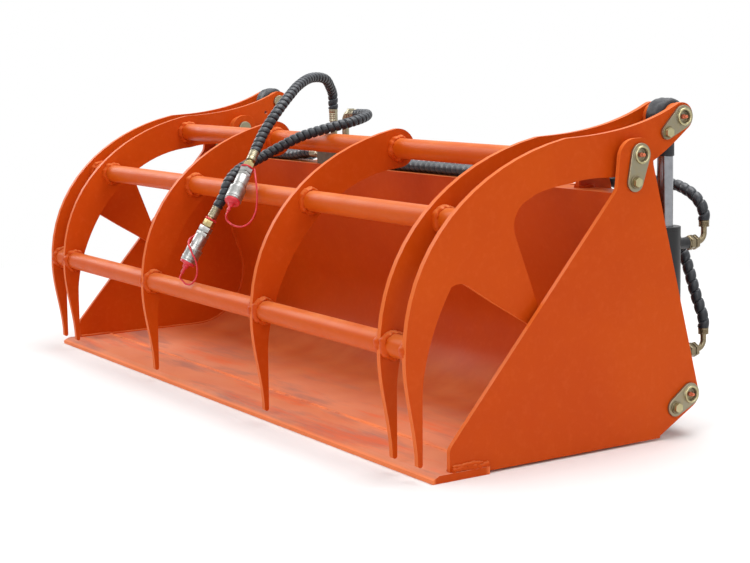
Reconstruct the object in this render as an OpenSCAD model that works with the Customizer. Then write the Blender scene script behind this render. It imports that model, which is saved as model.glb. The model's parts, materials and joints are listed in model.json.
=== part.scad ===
// Grapple bucket: a welded loader bucket with a row of curved tines above it.
// Two hydraulic cylinders turn the tines about one pivot line.
// X runs across the bucket, -Y is its mouth and Z is up. The origin is the middle
// of the flat underside of the cutting edge. All lengths are in millimetres.

/* [Bucket] */
// Width over the two side plates
bucket_w = 1800; // [1500:10:2000]
// Thickness of a side plate
side_t = 10; // [8:1:14]
// Thickness of the bent bucket sheet
sheet_t = 8; // [6:1:10]
// Height of the floor's underside over the ground
floor_z = 5; // [3:0.5:6]
// Distance from the origin back to where the floor starts to bend up
floor_end = 336; // [320:2:346]
// Inside radius of the bend between floor and back
bend_r = 150; // [130:5:160]
// Distance from the origin back to the front of the lip
lip_y = 374; // [366:2:380]
// Height of the top of the lip
lip_z = 500; // [490:2:506]
// Depth of the flat lip flange
lip_d = 60; // [54:2:64]

/* [Cutting edge] */
// Depth of the cutting edge bar
edge_d = 128; // [110:2:140]
// Thickness of the cutting edge bar
edge_t = 15; // [12:1:18]
// Height of the blunt nose below the bevel
edge_nose = 8; // [4:1:10]
// Depth of the bevel
edge_bevel = 15; // [8:1:20]
// How far the bar stands out past each side plate
edge_over = 6; // [2:1:10]

/* [Pins] */
// Distance from the origin back to the grapple pivot
pivot_y = 431; // [426:1:434]
// Height of the grapple pivot
pivot_z = 571; // [566:1:576]
// Distance from the origin back to the two cylinder pins
ram_y = 560; // [556:1:566]
// Height of the rod pin
rod_pin_z = 638; // [634:1:642]
// Height of the barrel pin
barrel_pin_z = 85; // [80:1:90]
// Diameter of all pivot pins
pin_d = 35; // [30:1:38]
// Radial running clearance of pins, rods and tubes in their bores
fit = 0.05; // [0.02:0.01:0.1]
// Side clearance between parts that turn past each other
side_gap = 0.5; // [0.3:0.1:0.8]

/* [Side plates] */
// How far the plate's foot stands back from the cutting edge's nose
foot_set = 42; // [30:1:50]
// Height of the upright front of the plate
foot_h = 43; // [30:1:60]
// Radius of the plate round the grapple pivot
ear_r = 32; // [28:1:36]
// Distance from the grapple pivot forward to the ear's upper front corner
ear_front = 45; // [38:1:50]
// Distance from the origin back to the heel of the plate
heel_y = 484; // [476:1:490]
// Thickness of the inner plates, which carry the inner ends of the pins
plate_t = 12; // [8:1:16]

/* [Tines] */
// Thickness of a tine
tine_t = 12; // [10:1:16]
// Gap from a side plate to the outer tine
outer_gap = 13; // [11:1:16]
// Gap between the two tines of an outer pair
pair_gap = 74; // [70:1:80]
// Gap from the inner tine of a pair to the inner plate
inner_gap = 21; // [16:1:26]
// Distance from the middle to the centre of a middle tine
middle_x = 280; // [200:10:400]
// Distance that a tine's tip stands in front of the cutting edge
tip_ahead = 12; // [6:1:20]
// Height of a tine's tip
tip_z = 29; // [26:1:34]
// Half width of a tine's blunt tip
tip_r = 5; // [3:1:7]
// Outer diameter of the cross tubes
tube_d = 44.5; // [40:0.5:46]
// Wall of the cross tubes
tube_wall = 4; // [2.5:0.5:6]
// Radius of a tine round the upper cross tube
head_r = 43; // [38:1:48]
// Radius of an arm round the rod pin
arm_r = 28; // [25:1:32]
// Outer diameter of the pivot sleeve between the tines of a pair
sleeve_d = 60; // [52:1:66]

/* [Cylinders] */
// Outer diameter of the barrel
barrel_d = 63; // [58:1:68]
// Bore of the barrel
bore_d = 50; // [44:1:52]
// Length from the barrel pin to the top of the barrel
barrel_len = 326; // [322:1:328]
// Diameter of the piston rod
rod_d = 32; // [25:1:33]
// Diameter of the rod eye's neck
neck_d = 36; // [35:1:40]
// Length from the rod pin down to the end of the neck
neck_len = 79; // [74:1:79]
// Radius of the rod's eye
rod_eye_r = 36; // [30:1:38]
// Radius of the barrel's eye
barrel_eye_r = 33; // [28:1:35]
// Width of the eyes at both ends
eye_w = 46; // [40:1:50]
// Height of the piston
piston_h = 30; // [24:1:34]
// Length of the gland inside the barrel
gland_h = 24; // [18:1:26]

/* [Keepers and bolts] */
// Thickness of a keeper plate
keeper_t = 6; // [4:1:6]
// Radius of a keeper plate round its pin
keeper_r = 23; // [21:0.5:25]
// How far a pin stands out past its keeper plate
pin_over = 3; // [1:1:6]
// Diameter of the keeper bolts
bolt_d = 10; // [8:1:12]
// Size of the bolt heads across the flats
bolt_flats = 17; // [15:1:19]
// Height of the bolt heads
bolt_head = 7; // [5:0.5:8]
// Thickness of the washers
washer_t = 2; // [1.5:0.5:2.5]

/* [Hydraulics on the lip] */
// Width of the hose block
block_w = 110; // [90:1:130]
// Depth of the hose block
block_d = 52; // [46:1:56]
// Height of the hose block
block_h = 50; // [44:1:56]
// Distance of the block's centre to the left of the middle
block_x = 200; // [150:5:250]
// Distance between the two hoses on the lip
hose_step = 26; // [26:1:30]

/* [Hitch] */
// Distance from the middle to each hitch bracket
hitch_x = 540; // [400:10:580]
// Thickness of the hitch brackets
hitch_t = 20; // [15:1:30]
// Diameter of the lower hitch eye
hitch_eye_d = 30; // [25:1:36]
// Diameter of the bar that the hooks take
hitch_bar_d = 36; // [30:1:40]
// Length of the rear beam's wide side
beam_w = 100; // [80:5:120]
// Depth of the rear beam
beam_d = 60; // [40:2:64]
// Wall of the rear beam
beam_wall = 6; // [4:1:8]

/* [Hoses] */
// Outer diameter over the hose guard
guard_d = 25; // [22:0.5:25]
// Diameter at the grooves of the hose guard
groove_d = 20; // [18:0.5:20]
// Bore of a hose
hose_bore = 12; // [8:0.5:13]
// Distance between the guard's ribs on the two supply hoses
supply_pitch = 16; // [14:1:24]
// Distance between the guard's ribs on the four cylinder hoses
ram_pitch = 34; // [30:1:50]
// Diameter of the dust plug lanyards
lanyard_d = 4; // [3:0.5:4]

/* [Hidden] */
$fn = 64;

// Colours of the finishes
paint = [0.76, 0.29, 0.10];
black_paint = [0.06, 0.06, 0.07];
chrome = [0.75, 0.76, 0.78];
zinc = [0.55, 0.53, 0.45];
rubber = [0.09, 0.10, 0.11];
brass = [0.72, 0.56, 0.26];
plug_red = [0.78, 0.16, 0.18];

// Overrun of every cut
over = 1;

// Pin centres in the plane of a plate, as [y, z]
pivot_at = [pivot_y, pivot_z];
rod_pin_at = [ram_y, rod_pin_z];
barrel_pin_at = [ram_y, barrel_pin_z];

// Faces across the bucket, from the outside to the inside
side_x = bucket_w / 2;
side_in_x = side_x - side_t;
outer_x = side_in_x - outer_gap;
outer_in_x = outer_x - tine_t;
pair_x = outer_in_x - pair_gap;
pair_in_x = pair_x - tine_t;
plate_x = pair_in_x - inner_gap;
plate_in_x = plate_x - plate_t;
ram_x = (outer_in_x + pair_x) / 2;
eye_out_x = ram_x + eye_w / 2;
eye_in_x = ram_x - eye_w / 2;

// Bend and back of the bucket sheet, as [y, z]
bend_at = [floor_end, floor_z + sheet_t + bend_r];
back_rise = lip_z - bend_at[1];
back_run = lip_y - floor_end;
back_lean = asin(bend_r / norm([back_rise, back_run])) - atan2(back_run, back_rise);
back_out = [cos(back_lean), sin(back_lean)];
back_up = [-sin(back_lean), cos(back_lean)];
back_foot = bend_at + (bend_r + sheet_t) * back_out;
bend_steps = 28;
curve_steps = 16;

// Place of a tine's tip and the way from there to the grapple pivot
tip_at = [-edge_d / 2 - tip_ahead, tip_z];
tine_size = pivot_at - tip_at;

// Cross tubes as shares of the way from the tip to the pivot
lower_tube_share = [0.008, 0.395];
middle_tube_share = [0.245, 0.808];
upper_tube_share = [0.69, 0.991];

// Curve points of a tine as shares of the way from the tip to the pivot
shin_shares = [[0, 0.123], [-0.045, 0.234], [-0.045, 0.362]];
brow_shares = [[-0.045, 0.743], [0.268, 0.999]];
rear_shares = [[0.225, 0.889], [0.022, 0.4225], [0.024, 0.223]];

// Wing of an outer tine: [y share, z share, corner radius share] along the tine's size
wing_shares = [
    [0.05, 0.6, 0], [0.085, 0.5, 0], [0.163, 0.635, 0.1], [0.34, 0.528, 0.2], [0.492, 0.441, 0.2],
    [0.596, 0.375, 0.022], [0.531, 0.531, 0.3], [0.414, 0.825, 0.1], [0.62, 0.925, 0],
    [0.53, 0.96, 0], [0.3, 0.85, 0]];

// Curve points of an arm as shares of the way from the upper tube to the rod pin
arm_top_shares = [[0.035, 0.643], [0.543, 0.529]];
arm_under_shares = [[0.489, -1.09], [0.38, -0.269]];

// Angles at which the curves leave the head and the arm's end, in degrees
head_top_angle = 97;
head_under_angle = -80;
arm_top_angle = 109;
arm_under_angle = -59;

// Rear edge of the side and inner plates, out from the pivots
waist_out = 35;
waist_drop = 21;
hip_out = 31;
hip_drop = 15;
hip_r = 28;
waist_r = 60;
ear_corner_r = 38;
heel_lift = 4;
collar_rise = 7;
collar_out = 2;
plate_ear_r = 34;
plate_heel_front = 430;
plate_heel_back = 470;
boss_r = 30;
arm_boss_r = arm_r - 2;

// Bolt places of the keeper plates, out from their pins
pivot_bolt = [-14, -52];
barrel_bolt = [-38, -22];
rod_bolt = [-42, -29];
keeper_bolt_r = 19;
rod_keeper_bolt_r = 14;
washer_r = 1.05 * bolt_d;
bolt_hole_d = bolt_d + 2 * fit;
recess_d = 25;
recess_h = 8;
nipple_d = 11;
nipple_tip_d = 8;
nipple_h = 8;
nipple_tip_h = 6;
pin_tail = 7;

// Barrel: base plug, ports and gland
barrel_foot = 34;
base_h = 50;
port_low = 70;
port_drop = 33;
port_high = barrel_len - port_drop;
port_d = 10;
port_boss_d = 24;
port_boss_l = 27;
port_boss_root = 2;
gland_rim = 6;
piston_gap = 21;
rod_tail = 6;
rod_socket = 20;
seal_d = 38;
seal_h = 6;

// Port fittings, from the barrel outwards
port_hex = 27;
port_hex_l = 25;
port_tube_d = 12;
port_tube_run = 4;
port_tube_r = 18;
port_tube_rise = 12;
ferrule_d = 22;
port_ferrule_h = 14;
hose_gap = 0.15;

// Fittings on the hose block
side_port_z = 24;
side_hex = 24;
elbow_d = 17;
elbow_r = 22;
hose_line = 5;
side_hex_l = 20;
side_ferrule_l = 35;
top_hex_h = 16;
top_neck_h = 39;
top_ferrule_h = 31;
top_fit_x = 14;
elbow_fit_x = 35;
top_fit_y = 1;
elbow_fit_y = 6;
elbow_fit_h = 38;
elbow_nut_l = 10;
elbow_ferrule_l = 21;

// Couplers on the supply hoses, lengths along the hose
hose_ferrule_l = 27;
coupler_nut_hex = 22;
coupler_nut_l = 24;
coupler_hex = 27;
coupler_hex_l = 22;
coupler_d = 30;
coupler_l = 33;
coupler_sleeve_d = 38;
coupler_sleeve_l = 34;
plug_d = 35;
plug_flange_l = 6;
plug_boss_d = 14;
plug_boss_l = 10;
plug_tail_d = 8;
plug_tail_l = 14;

// Hitch brackets, behind the back
hook_at = [560, 440];
hitch_eye_at = [622, 80];
hitch_eye_r = 34;
hook_tip_z = 398;
hook_back_y = 602;
hook_top_gap = 6;
hitch_waist_y = 512;
hitch_waist_low = 170;
hitch_waist_high = 330;
hitch_corner_r = 40;
hook_corner_r = 12;
beam_from = 60;

// Routes of the hoses and lanyards, through points chosen by hand
gland_hose_run = [
    [828, 665.5, 422], [828, 665.5, 433], [825, 664, 446], [816, 662, 460], [799, 661, 473],
    [775, 662, 482], [748, 664, 488], [719, 651, 494], [700, 605, 505], [694, 557, 516],
    [688, 510, 520], [672, 462, 518], [646, 420, 514], [612, 399, 513], [570, 396, 513]];
base_hose_run = [
    [828, 665.5, 199], [828, 665.5, 214], [824, 663, 232], [816, 660, 255], [806, 657, 285],
    [796, 655, 315], [783, 655, 342], [765, 655, 367], [739, 650, 394], [711, 636, 424],
    [685, 608, 459], [662, 570, 495], [646, 526, 516], [630, 482, 521], [602, 446, 517],
    [566, 426, 513], [526, 422, 513]];
gland_hose_right_end = [
    [300, 396, 513], [40, 396, 513], [-20, 396, 517], [-64, 396, 524], [-90, 396, 524]];
base_hose_right_end = [
    [290, 422, 513], [40, 422, 513], [-20, 422, 517], [-64, 422, 524], [-90, 422, 524]];
gland_hose_left_end = [[-420, 396, 513], [-380, 396, 517], [-336, 396, 524], [-310, 396, 524]];
base_hose_left_end = [[-420, 422, 513], [-380, 422, 517], [-336, 422, 524], [-310, 422, 524]];
supply_hose_1_route = [
    [-214, 405, 636], [-214, 405, 662], [-190, 384, 690], [-155, 348, 712],
    [-118, 290, 716], [-73, 230, 701], [-41, 187, 679], [-15, 141, 646],
    [0, 97, 603], [12, 74.2, 576.5], [21, 58.7, 558]];
supply_hose_2_route = [
    [-112, 410, 626], [-86, 410, 626], [-40, 397, 626], [-4, 360, 620], [10, 310, 611],
    [-3, 260, 600], [-29, 205, 583], [-46, 160, 561], [-56, 118, 540], [-52, 80, 526],
    [-40, 44, 512], [-27, 12, 487], [-25, -2.2, 456.8], [-28, -15.4, 434.5]];
lanyard_1_route = [
    [80.5, -43.5, 436], [84, -49.5, 429], [81, -47, 416], [86.5, -38.5, 406.5],
    [92.5, -26.5, 401], [97, -14, 401.5], [101, 1, 411], [102.5, 13, 431],
    [101.5, 18, 454.5], [98, 20.5, 476.5], [87.5, 24.5, 498.5], [71.5, 31.5, 513],
    [51.5, 40.5, 522]];
lanyard_2_route = [
    [-47.5, -101.5, 289], [-48.5, -106, 281.5], [-45.5, -100, 271], [-39, -95.5, 264.5],
    [-30, -88, 265.5], [-22, -80, 277], [-16.5, -77.5, 296], [-15.5, -81, 318.5],
    [-21, -88, 339.5], [-35.5, -87.5, 356.5], [-49.5, -77, 365.5], [-59.5, -60.5, 370.5],
    [-60.5, -44, 382], [-50.5, -31, 393.5], [-35.5, -18.5, 398.5]];
led_points = 6;
route_steps = 12;
hose_sides = 8;
bore_rib_step = 2;
lanyard_ring = 10;

// Geometry helpers

function unit(v) = v / norm(v);
function place(from, size, share) = from + [size[0] * share[0], size[1] * share[1]];
function flat(p) = [p[0], p[1]];
function turned(at, r, angle) = at + r * [cos(angle), sin(angle)];

// Points on an arc, the start and the end included
function arc(at, r, from, to, steps) =
    [for (i = [0:steps]) turned(at, r, from + (to - from) * i / steps)];

// Points on a cubic curve with four control points
function cubic(p, steps) = [for (i = [0:steps])
    let (s = i / steps, t = 1 - s)
    t ^ 3 * p[0] + 3 * t ^ 2 * s * p[1] + 3 * t * s ^ 2 * p[2] + s ^ 3 * p[3]];

// Arc in the corner b between a and c, its radius limited by the two edges
function corner(a, b, c, r) =
    let (
        u = unit(a - b),
        v = unit(c - b),
        half = acos(u * v) / 2,
        fits = min(r, tan(half) * min(norm(a - b), norm(c - b)) / 2),
        at = b + unit(u + v) * fits / sin(half),
        start = b + u * fits / tan(half) - at,
        end = b + v * fits / tan(half) - at,
        from = atan2(start[1], start[0]),
        sweep = (atan2(end[1], end[0]) - from + 540) % 360 - 180,
        steps = max(2, ceil(abs(sweep) / 9)))
    arc(at, fits, from, from + sweep, steps);

// Outline through the corners [y, z, radius]
function rounded(p) = let (n = len(p)) [for (i = [0:n - 1])
    each p[i][2] == 0 ? [flat(p[i])]
        : corner(flat(p[(i + n - 1) % n]), flat(p[i]), flat(p[(i + 1) % n]), p[i][2])];

// Outline of a plate round two bosses
function link(a, ra, b, rb) =
    let (
        base = atan2(b[1] - a[1], b[0] - a[0]),
        open = acos((ra - rb) / norm(b - a)))
    concat(
        arc(a, ra, base + open, base + 360 - open, curve_steps),
        arc(b, rb, base - open, base + open, curve_steps));

// Extrudes an outline of [y, z] points along X, between two faces
module across(from, to) translate([from, 0, 0]) rotate([90, 0, 90]) linear_extrude(to - from) children();

// A round bar along X, between two faces
module bar(from, to, at, d) translate([from, at[0], at[1]]) rotate([0, 90, 0]) cylinder(d = d, h = to - from);

// A hexagon bar along Z, sized across the flats
module hex(flats, h) cylinder(d = flats / cos(30), h = h, $fn = 6);

// The right side as drawn, the left side as its mirror image
module on_side(side) {
    if (side > 0) children();
    else mirror([1, 0, 0]) children();
}

// Moves what points up to a place, along a direction
module along(at, dir) translate(at) rotate([0, acos(dir[2] / norm(dir)), atan2(dir[1], dir[0])]) children();

// Outlines of the bucket, as [y, z]

// Underside of the floor, outside of the bend and back, and the lip
function sheet_outside() =
    let (under = lip_z - sheet_t, rise = (under - back_foot[1]) / back_up[1])
    concat(
        [[edge_d / 2, floor_z]],
        arc(bend_at, bend_r + sheet_t, -90, back_lean, bend_steps),
        [back_foot + rise * back_up, [lip_y + lip_d, under], [lip_y + lip_d, lip_z]]);

function sheet_inside() = concat(
    [[lip_y, lip_z]],
    arc(bend_at, bend_r, back_lean, -90, bend_steps),
    [[edge_d / 2, floor_z + sheet_t]]);

// All that lies in front of the sheet's outside
function sheet_cut() = concat(sheet_outside(), [[edge_d / 2, lip_z]]);

// Rear beam just off the back, grown by a gap
function beam_outline(grow) =
    let (low = back_foot + beam_from * back_up)
    [low - (grow - fit) * back_out - grow * back_up, low + (beam_d + grow) * back_out - grow * back_up,
        low + (beam_d + grow) * back_out + (beam_w + grow) * back_up,
        low - (grow - fit) * back_out + (beam_w + grow) * back_up];

function side_outline() = rounded([
    [edge_d / 2, floor_z, 0],
    [edge_d / 2, edge_t, 0],
    [foot_set - edge_d / 2, edge_t, 0],
    [foot_set - edge_d / 2, edge_t + foot_h, hip_r],
    [lip_y + collar_out, lip_z + collar_rise, hip_r],
    [pivot_y - ear_front, pivot_z + ear_r, ear_corner_r],
    [pivot_y + ear_r, pivot_z + ear_r, ear_r],
    [pivot_y + waist_out, pivot_z - waist_drop, waist_r],
    [ram_y + hip_out, barrel_pin_z - hip_drop, hip_r],
    [heel_y, floor_z + heel_lift, 0],
    [heel_y, floor_z, 0]]);

function inner_outline() = rounded([
    [plate_heel_back, 0, 0],
    [plate_heel_front, 0, 0],
    [plate_heel_front, bend_at[1], 0],
    [lip_y, bend_at[1], 0],
    [lip_y, lip_z - sheet_t / 2, 0],
    [pivot_y - plate_ear_r, lip_z - sheet_t / 2, 0],
    [pivot_y - plate_ear_r, pivot_z + plate_ear_r, plate_ear_r],
    [pivot_y + plate_ear_r, pivot_z + plate_ear_r, plate_ear_r],
    [pivot_y + waist_out, pivot_z - waist_drop, waist_r],
    [ram_y + hip_out, barrel_pin_z - hip_drop, hip_r],
    [heel_y, floor_z + heel_lift, 0]]);

// Outlines of the tines, as [y, z]

lower_tube_at = place(tip_at, tine_size, lower_tube_share);
middle_tube_at = place(tip_at, tine_size, middle_tube_share);
upper_tube_at = place(tip_at, tine_size, upper_tube_share);
arm_size = rod_pin_at - upper_tube_at;

// From the tip up the front to the head
function tine_front() =
    let (
        shin = [for (s = shin_shares) place(tip_at, tine_size, s)],
        brow = [for (s = brow_shares) place(tip_at, tine_size, s)])
    concat(
        cubic([tip_at, shin[0], shin[1], shin[2]], curve_steps),
        cubic([shin[2], brow[0], brow[1], turned(upper_tube_at, head_r, head_top_angle)], curve_steps));

// From the underside of the head down the rear to the tip
function tine_rear() =
    let (rear = [for (s = rear_shares) place(tip_at, tine_size, s)])
    concat(
        cubic([turned(upper_tube_at, head_r, head_under_angle), rear[0], rear[1], rear[2]], 2 * curve_steps),
        arc(tip_at + [tip_r, tip_r / 2], tip_r, 0, -160, curve_steps / 2));

function middle_tine_outline() = concat(
    tine_front(),
    arc(upper_tube_at, head_r, head_top_angle, head_under_angle, curve_steps),
    tine_rear());

function arm_tine_outline() =
    let (
        top = [for (s = arm_top_shares) place(upper_tube_at, arm_size, s)],
        under = [for (s = arm_under_shares) place(upper_tube_at, arm_size, s)])
    concat(
        tine_front(),
        cubic([turned(upper_tube_at, head_r, head_top_angle), top[0], top[1],
            turned(rod_pin_at, arm_r, arm_top_angle)], curve_steps),
        arc(rod_pin_at, arm_r, arm_top_angle, arm_under_angle, curve_steps),
        cubic([turned(rod_pin_at, arm_r, arm_under_angle), under[0], under[1],
            turned(upper_tube_at, head_r, head_under_angle)], curve_steps),
        tine_rear());

function wing_outline() = rounded([for (s = wing_shares)
    [each place(tip_at, tine_size, s), s[2] * tine_size[0]]]);

// Curves of hoses and lanyards

// Direction of a route at a point, straight along its first and last pair
function heading(r, i) = let (n = len(r) - 1)
    i <= 1 ? unit(r[1] - r[0]) : i >= n - 1 ? unit(r[n] - r[n - 1]) : unit(r[i + 1] - r[i - 1]);

function bent(p, q, u, v, s) = let (c = norm(q - p))
    (2 * s ^ 3 - 3 * s ^ 2 + 1) * p + (s ^ 3 - 2 * s ^ 2 + s) * c * u
    + (3 * s ^ 2 - 2 * s ^ 3) * q + (s ^ 3 - s ^ 2) * c * v;

// Smooth curve through all points of a route
function smooth(r) = concat(
    [for (i = [0:len(r) - 2], k = [0:route_steps - 1])
        bent(r[i], r[i + 1], heading(r, i), heading(r, i + 1), k / route_steps)],
    [r[len(r) - 1]]);

// Length from the start at each point
function lengths(p) = [for (i = 0, s = 0; i < len(p); i = i + 1, s = i < len(p) ? s + norm(p[i] - p[i - 1]) : s) s];

// Points at equal steps along a curve
function spaced(p, steps) =
    let (
        s = lengths(p),
        table = [for (c = [0:2]) [for (i = [0:len(p) - 1]) [s[i], p[i][c]]]])
    [for (k = [0:steps]) let (d = s[len(s) - 1] * k / steps) [for (c = [0:2]) lookup(d, table[c])]];

function directions(p, r) = let (n = len(p) - 1, m = len(r) - 1)
    [for (i = [0:n]) i == 0 ? unit(r[1] - r[0]) : i == n ? unit(r[m] - r[m - 1]) : unit(p[i + 1] - p[i - 1])];

// A sideways direction at each point, turning as little as it can
function sideways(t) = [for (
    i = 0, n = unit(cross(t[0], abs(t[0][0]) < 0.7 ? [1, 0, 0] : [0, 1, 0]));
    i < len(t);
    i = i + 1, n = i < len(t) ? unit(n - (n * t[i]) * t[i]) : n) n];

// Rings of points round a curve, with one radius for each ring
function rings(p, radii, r) =
    let (t = directions(p, r), n = sideways(t))
    [for (i = [0:len(p) - 1], k = [0:hose_sides - 1])
        let (a = 360 * k / hose_sides) p[i] + radii[i] * (cos(a) * n[i] + sin(a) * cross(t[i], n[i]))];

// Triangles between the rings of a tube, facing outwards
function wall_faces(count, first, outwards) = [
    for (i = [0:count - 2], k = [0:hose_sides - 1])
        let (
            a = first + i * hose_sides + k,
            b = first + i * hose_sides + (k + 1) % hose_sides,
            c = a + hose_sides,
            d = b + hose_sides)
        each outwards ? [[a, d, b], [a, c, d]] : [[a, b, d], [a, d, c]]];

// Ring of triangles that closes the wall at an end
function end_faces(outer, inner, start) = [
    for (k = [0:hose_sides - 1])
        let (j = (k + 1) % hose_sides, a = outer + k, b = outer + j, c = inner + k, d = inner + j)
        each start ? [[a, b, d], [a, d, c]] : [[a, d, b], [a, c, d]]];

// Least gap between two stretches of one hose, measured on points
function self_gap(p, d) = min([
    for (i = [0:len(p) - 1], j = [0:len(p) - 1])
        if (j > i && norm(p[j] - p[i]) < (j - i) * norm(p[1] - p[0]) * 0.6) norm(p[j] - p[i]) - d,
    norm(p[len(p) - 1] - p[0]) - d]);

// A hose with its bore and the ribs of its guard
module ribbed_hose(name, route, pitch, rib_step) {
    fine = smooth(route);
    run = lengths(fine);
    ribs = rib_step * round(run[len(run) - 1] / pitch / rib_step);
    outside = spaced(fine, 2 * ribs);
    inside = spaced(fine, ribs / rib_step);
    crest = [for (i = [0:2 * ribs]) (i % 2 == 1 ? guard_d : groove_d) / 2];
    bore = [for (i = [0:ribs / rib_step]) hose_bore / 2];
    count = len(outside);
    first = count * hose_sides;
    last = first + (len(inside) - 1) * hose_sides;
    echo(str(name, " has ", ribs, " ribs, gap to itself ", self_gap(outside, guard_d)));
    polyhedron(
        concat(rings(outside, crest, route), rings(inside, bore, route)),
        concat(
            wall_faces(count, 0, true),
            wall_faces(len(inside), first, false),
            end_faces(0, first, true),
            end_faces(first - hose_sides, last, false)),
        convexity = 10);
}

// A plain cord with closed ends
module plain_cord(route, d) {
    fine = smooth(route);
    run = lengths(fine);
    p = spaced(fine, ceil(run[len(run) - 1] / lanyard_ring));
    last = (len(p) - 1) * hose_sides;
    polyhedron(
        rings(p, [for (i = p) d / 2], route),
        concat(
            wall_faces(len(p), 0, true),
            [for (k = [1:hose_sides - 2]) [0, k, k + 1]],
            [for (k = [1:hose_sides - 2]) [last, last + k + 1, last + k]]),
        convexity = 10);
}

// Parts of the bucket

module bucket_sheet() {
    color(paint) across(-side_in_x, side_in_x) polygon(concat(sheet_outside(), sheet_inside()));
}

module cutting_edge() {
    half = edge_d / 2;
    color(paint) across(-side_x - edge_over, side_x + edge_over) polygon([
        [-half, 0], [-half, edge_nose], [edge_bevel - half, edge_t], [half, edge_t], [half, 0]]);
}

// Side plate with the bosses that carry the outer ends of its pins
module side_plate(side) {
    color(paint) on_side(side) difference() {
        union() {
            across(side_in_x, side_x) polygon(side_outline());
            bar(outer_x + side_gap, side_in_x + over, pivot_at, 2 * boss_r);
            bar(eye_out_x + side_gap, side_in_x + over, barrel_pin_at, 2 * boss_r);
        }
        for (at = [pivot_at, barrel_pin_at])
            bar(plate_x, side_x + over, at, pin_d + 2 * fit);
        for (at = [pivot_at + pivot_bolt, barrel_pin_at + barrel_bolt])
            bar(side_in_x - over, side_x + over, at, bolt_hole_d);
    }
}

// Plate between the lip and the heel, which carries the inner ends of the pins
module inner_plate(side) {
    color(paint) on_side(side) difference() {
        union() {
            across(plate_in_x, plate_x) difference() {
                polygon(inner_outline());
                polygon(sheet_cut());
            }
            bar(plate_x - over, pair_in_x - side_gap, pivot_at, 2 * boss_r);
            bar(plate_x - over, eye_in_x - side_gap, barrel_pin_at, 2 * boss_r);
        }
        for (at = [pivot_at, barrel_pin_at])
            bar(plate_in_x - over, side_x, at, pin_d + 2 * fit);
    }
}

module rear_beam() {
    color(paint) across(-plate_in_x, plate_in_x) difference() {
        polygon(beam_outline(0));
        polygon(beam_outline(-beam_wall));
    }
}

// Hitch bracket with a hook above and an eye below
module hitch_bracket(side) {
    outline = rounded([
        [plate_heel_front, hitch_eye_at[1] - hitch_eye_r, 0],
        [hitch_eye_at[0] + hitch_eye_r, hitch_eye_at[1] - hitch_eye_r, hitch_eye_r],
        [hitch_eye_at[0] + hitch_eye_r, hitch_eye_at[1] + hitch_eye_r, hitch_eye_r],
        [hitch_waist_y, hitch_waist_low, hitch_corner_r],
        [hitch_waist_y, hitch_waist_high, hitch_corner_r],
        [hook_at[0] - hitch_bar_d / 2, hook_tip_z, 0],
        [hook_back_y, hook_tip_z, hook_corner_r],
        [hook_back_y, lip_z - sheet_t - hook_top_gap, hitch_corner_r],
        [lip_y, lip_z - sheet_t - hook_top_gap, 0],
        [lip_y, bend_at[1], 0],
        [plate_heel_front, bend_at[1], 0]]);
    color(paint) on_side(side) difference() {
        across(hitch_x - hitch_t / 2, hitch_x + hitch_t / 2) difference() {
            polygon(outline);
            polygon(sheet_cut());
            polygon(beam_outline(fit));
            translate([hook_at[0] - hitch_bar_d / 2, hook_tip_z - over])
                square([hitch_bar_d, hook_at[1] - hook_tip_z + over]);
        }
        bar(hitch_x - hitch_t, hitch_x + hitch_t, hook_at, hitch_bar_d);
        bar(hitch_x - hitch_t, hitch_x + hitch_t, hitch_eye_at, hitch_eye_d);
    }
}

// A pin with its keeper plate welded on, whose outer face lies at x
module kept_pin(from, x, at, bolt, pin_plate_r, bolt_plate_r) {
    difference() {
        union() {
            bar(from, x + keeper_t + pin_over, at, pin_d);
            across(x, x + keeper_t) polygon(link(at, pin_plate_r, at + bolt, bolt_plate_r));
        }
        bar(x - over, x + keeper_t + over, at + bolt, bolt_hole_d);
        bar(x + keeper_t + pin_over - recess_h, x + keeper_t + pin_over + over, at, recess_d);
    }
}

module pivot_pin(side) {
    color(zinc) on_side(side)
        kept_pin(plate_in_x - pin_tail, side_x, pivot_at, pivot_bolt, keeper_r, keeper_bolt_r);
}

module barrel_pin(side) {
    color(zinc) on_side(side)
        kept_pin(plate_in_x - pin_tail, side_x, barrel_pin_at, barrel_bolt, keeper_r, keeper_bolt_r);
}

// Bolt with its washer through a keeper plate whose inner face lies at x
module keeper_bolt(x, grip, at) {
    face = x + keeper_t;
    bar(x - grip, face + washer_t, at, bolt_d);
    difference() {
        bar(face, face + washer_t, at, 2 * washer_r);
        bar(face - over, face + washer_t + over, at, bolt_hole_d);
    }
    translate([face + washer_t, at[0], at[1]]) rotate([0, 90, 0]) hex(bolt_flats, bolt_head);
}

module keeper_bolts() {
    color(zinc) for (side = [-1, 1]) on_side(side) {
        keeper_bolt(side_x, side_t, pivot_at + pivot_bolt);
        keeper_bolt(side_x, side_t, barrel_pin_at + barrel_bolt);
    }
}

// Grease nipple in the recess of a pin whose end lies at x
module grease_nipple(x, at) {
    bar(x - recess_h, x - recess_h + nipple_h, at, nipple_d);
    bar(x - recess_h + nipple_h, x - recess_h + nipple_h + nipple_tip_h, at, nipple_tip_d);
}

module grease_nipples() {
    color(plug_red) for (side = [-1, 1]) on_side(side) {
        grease_nipple(side_x + keeper_t + pin_over, pivot_at);
        grease_nipple(side_x + keeper_t + pin_over, barrel_pin_at);
    }
}

// Hydraulics on the lip

lip_mid = lip_y + lip_d / 2;

module hose_block() {
    color(zinc) translate([-block_x - block_w / 2, lip_mid - block_d / 2, lip_z])
        cube([block_w, block_d, block_h]);
}

// Ferrule along Z, just short of the hose that starts there
module ferrule(l) cylinder(d = ferrule_d, h = l - hose_gap);

// Hexagon and ferrule along Z
module hose_end(flats, flats_l, l) {
    hex(flats, flats_l);
    translate([0, 0, flats_l]) ferrule(l);
}

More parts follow.
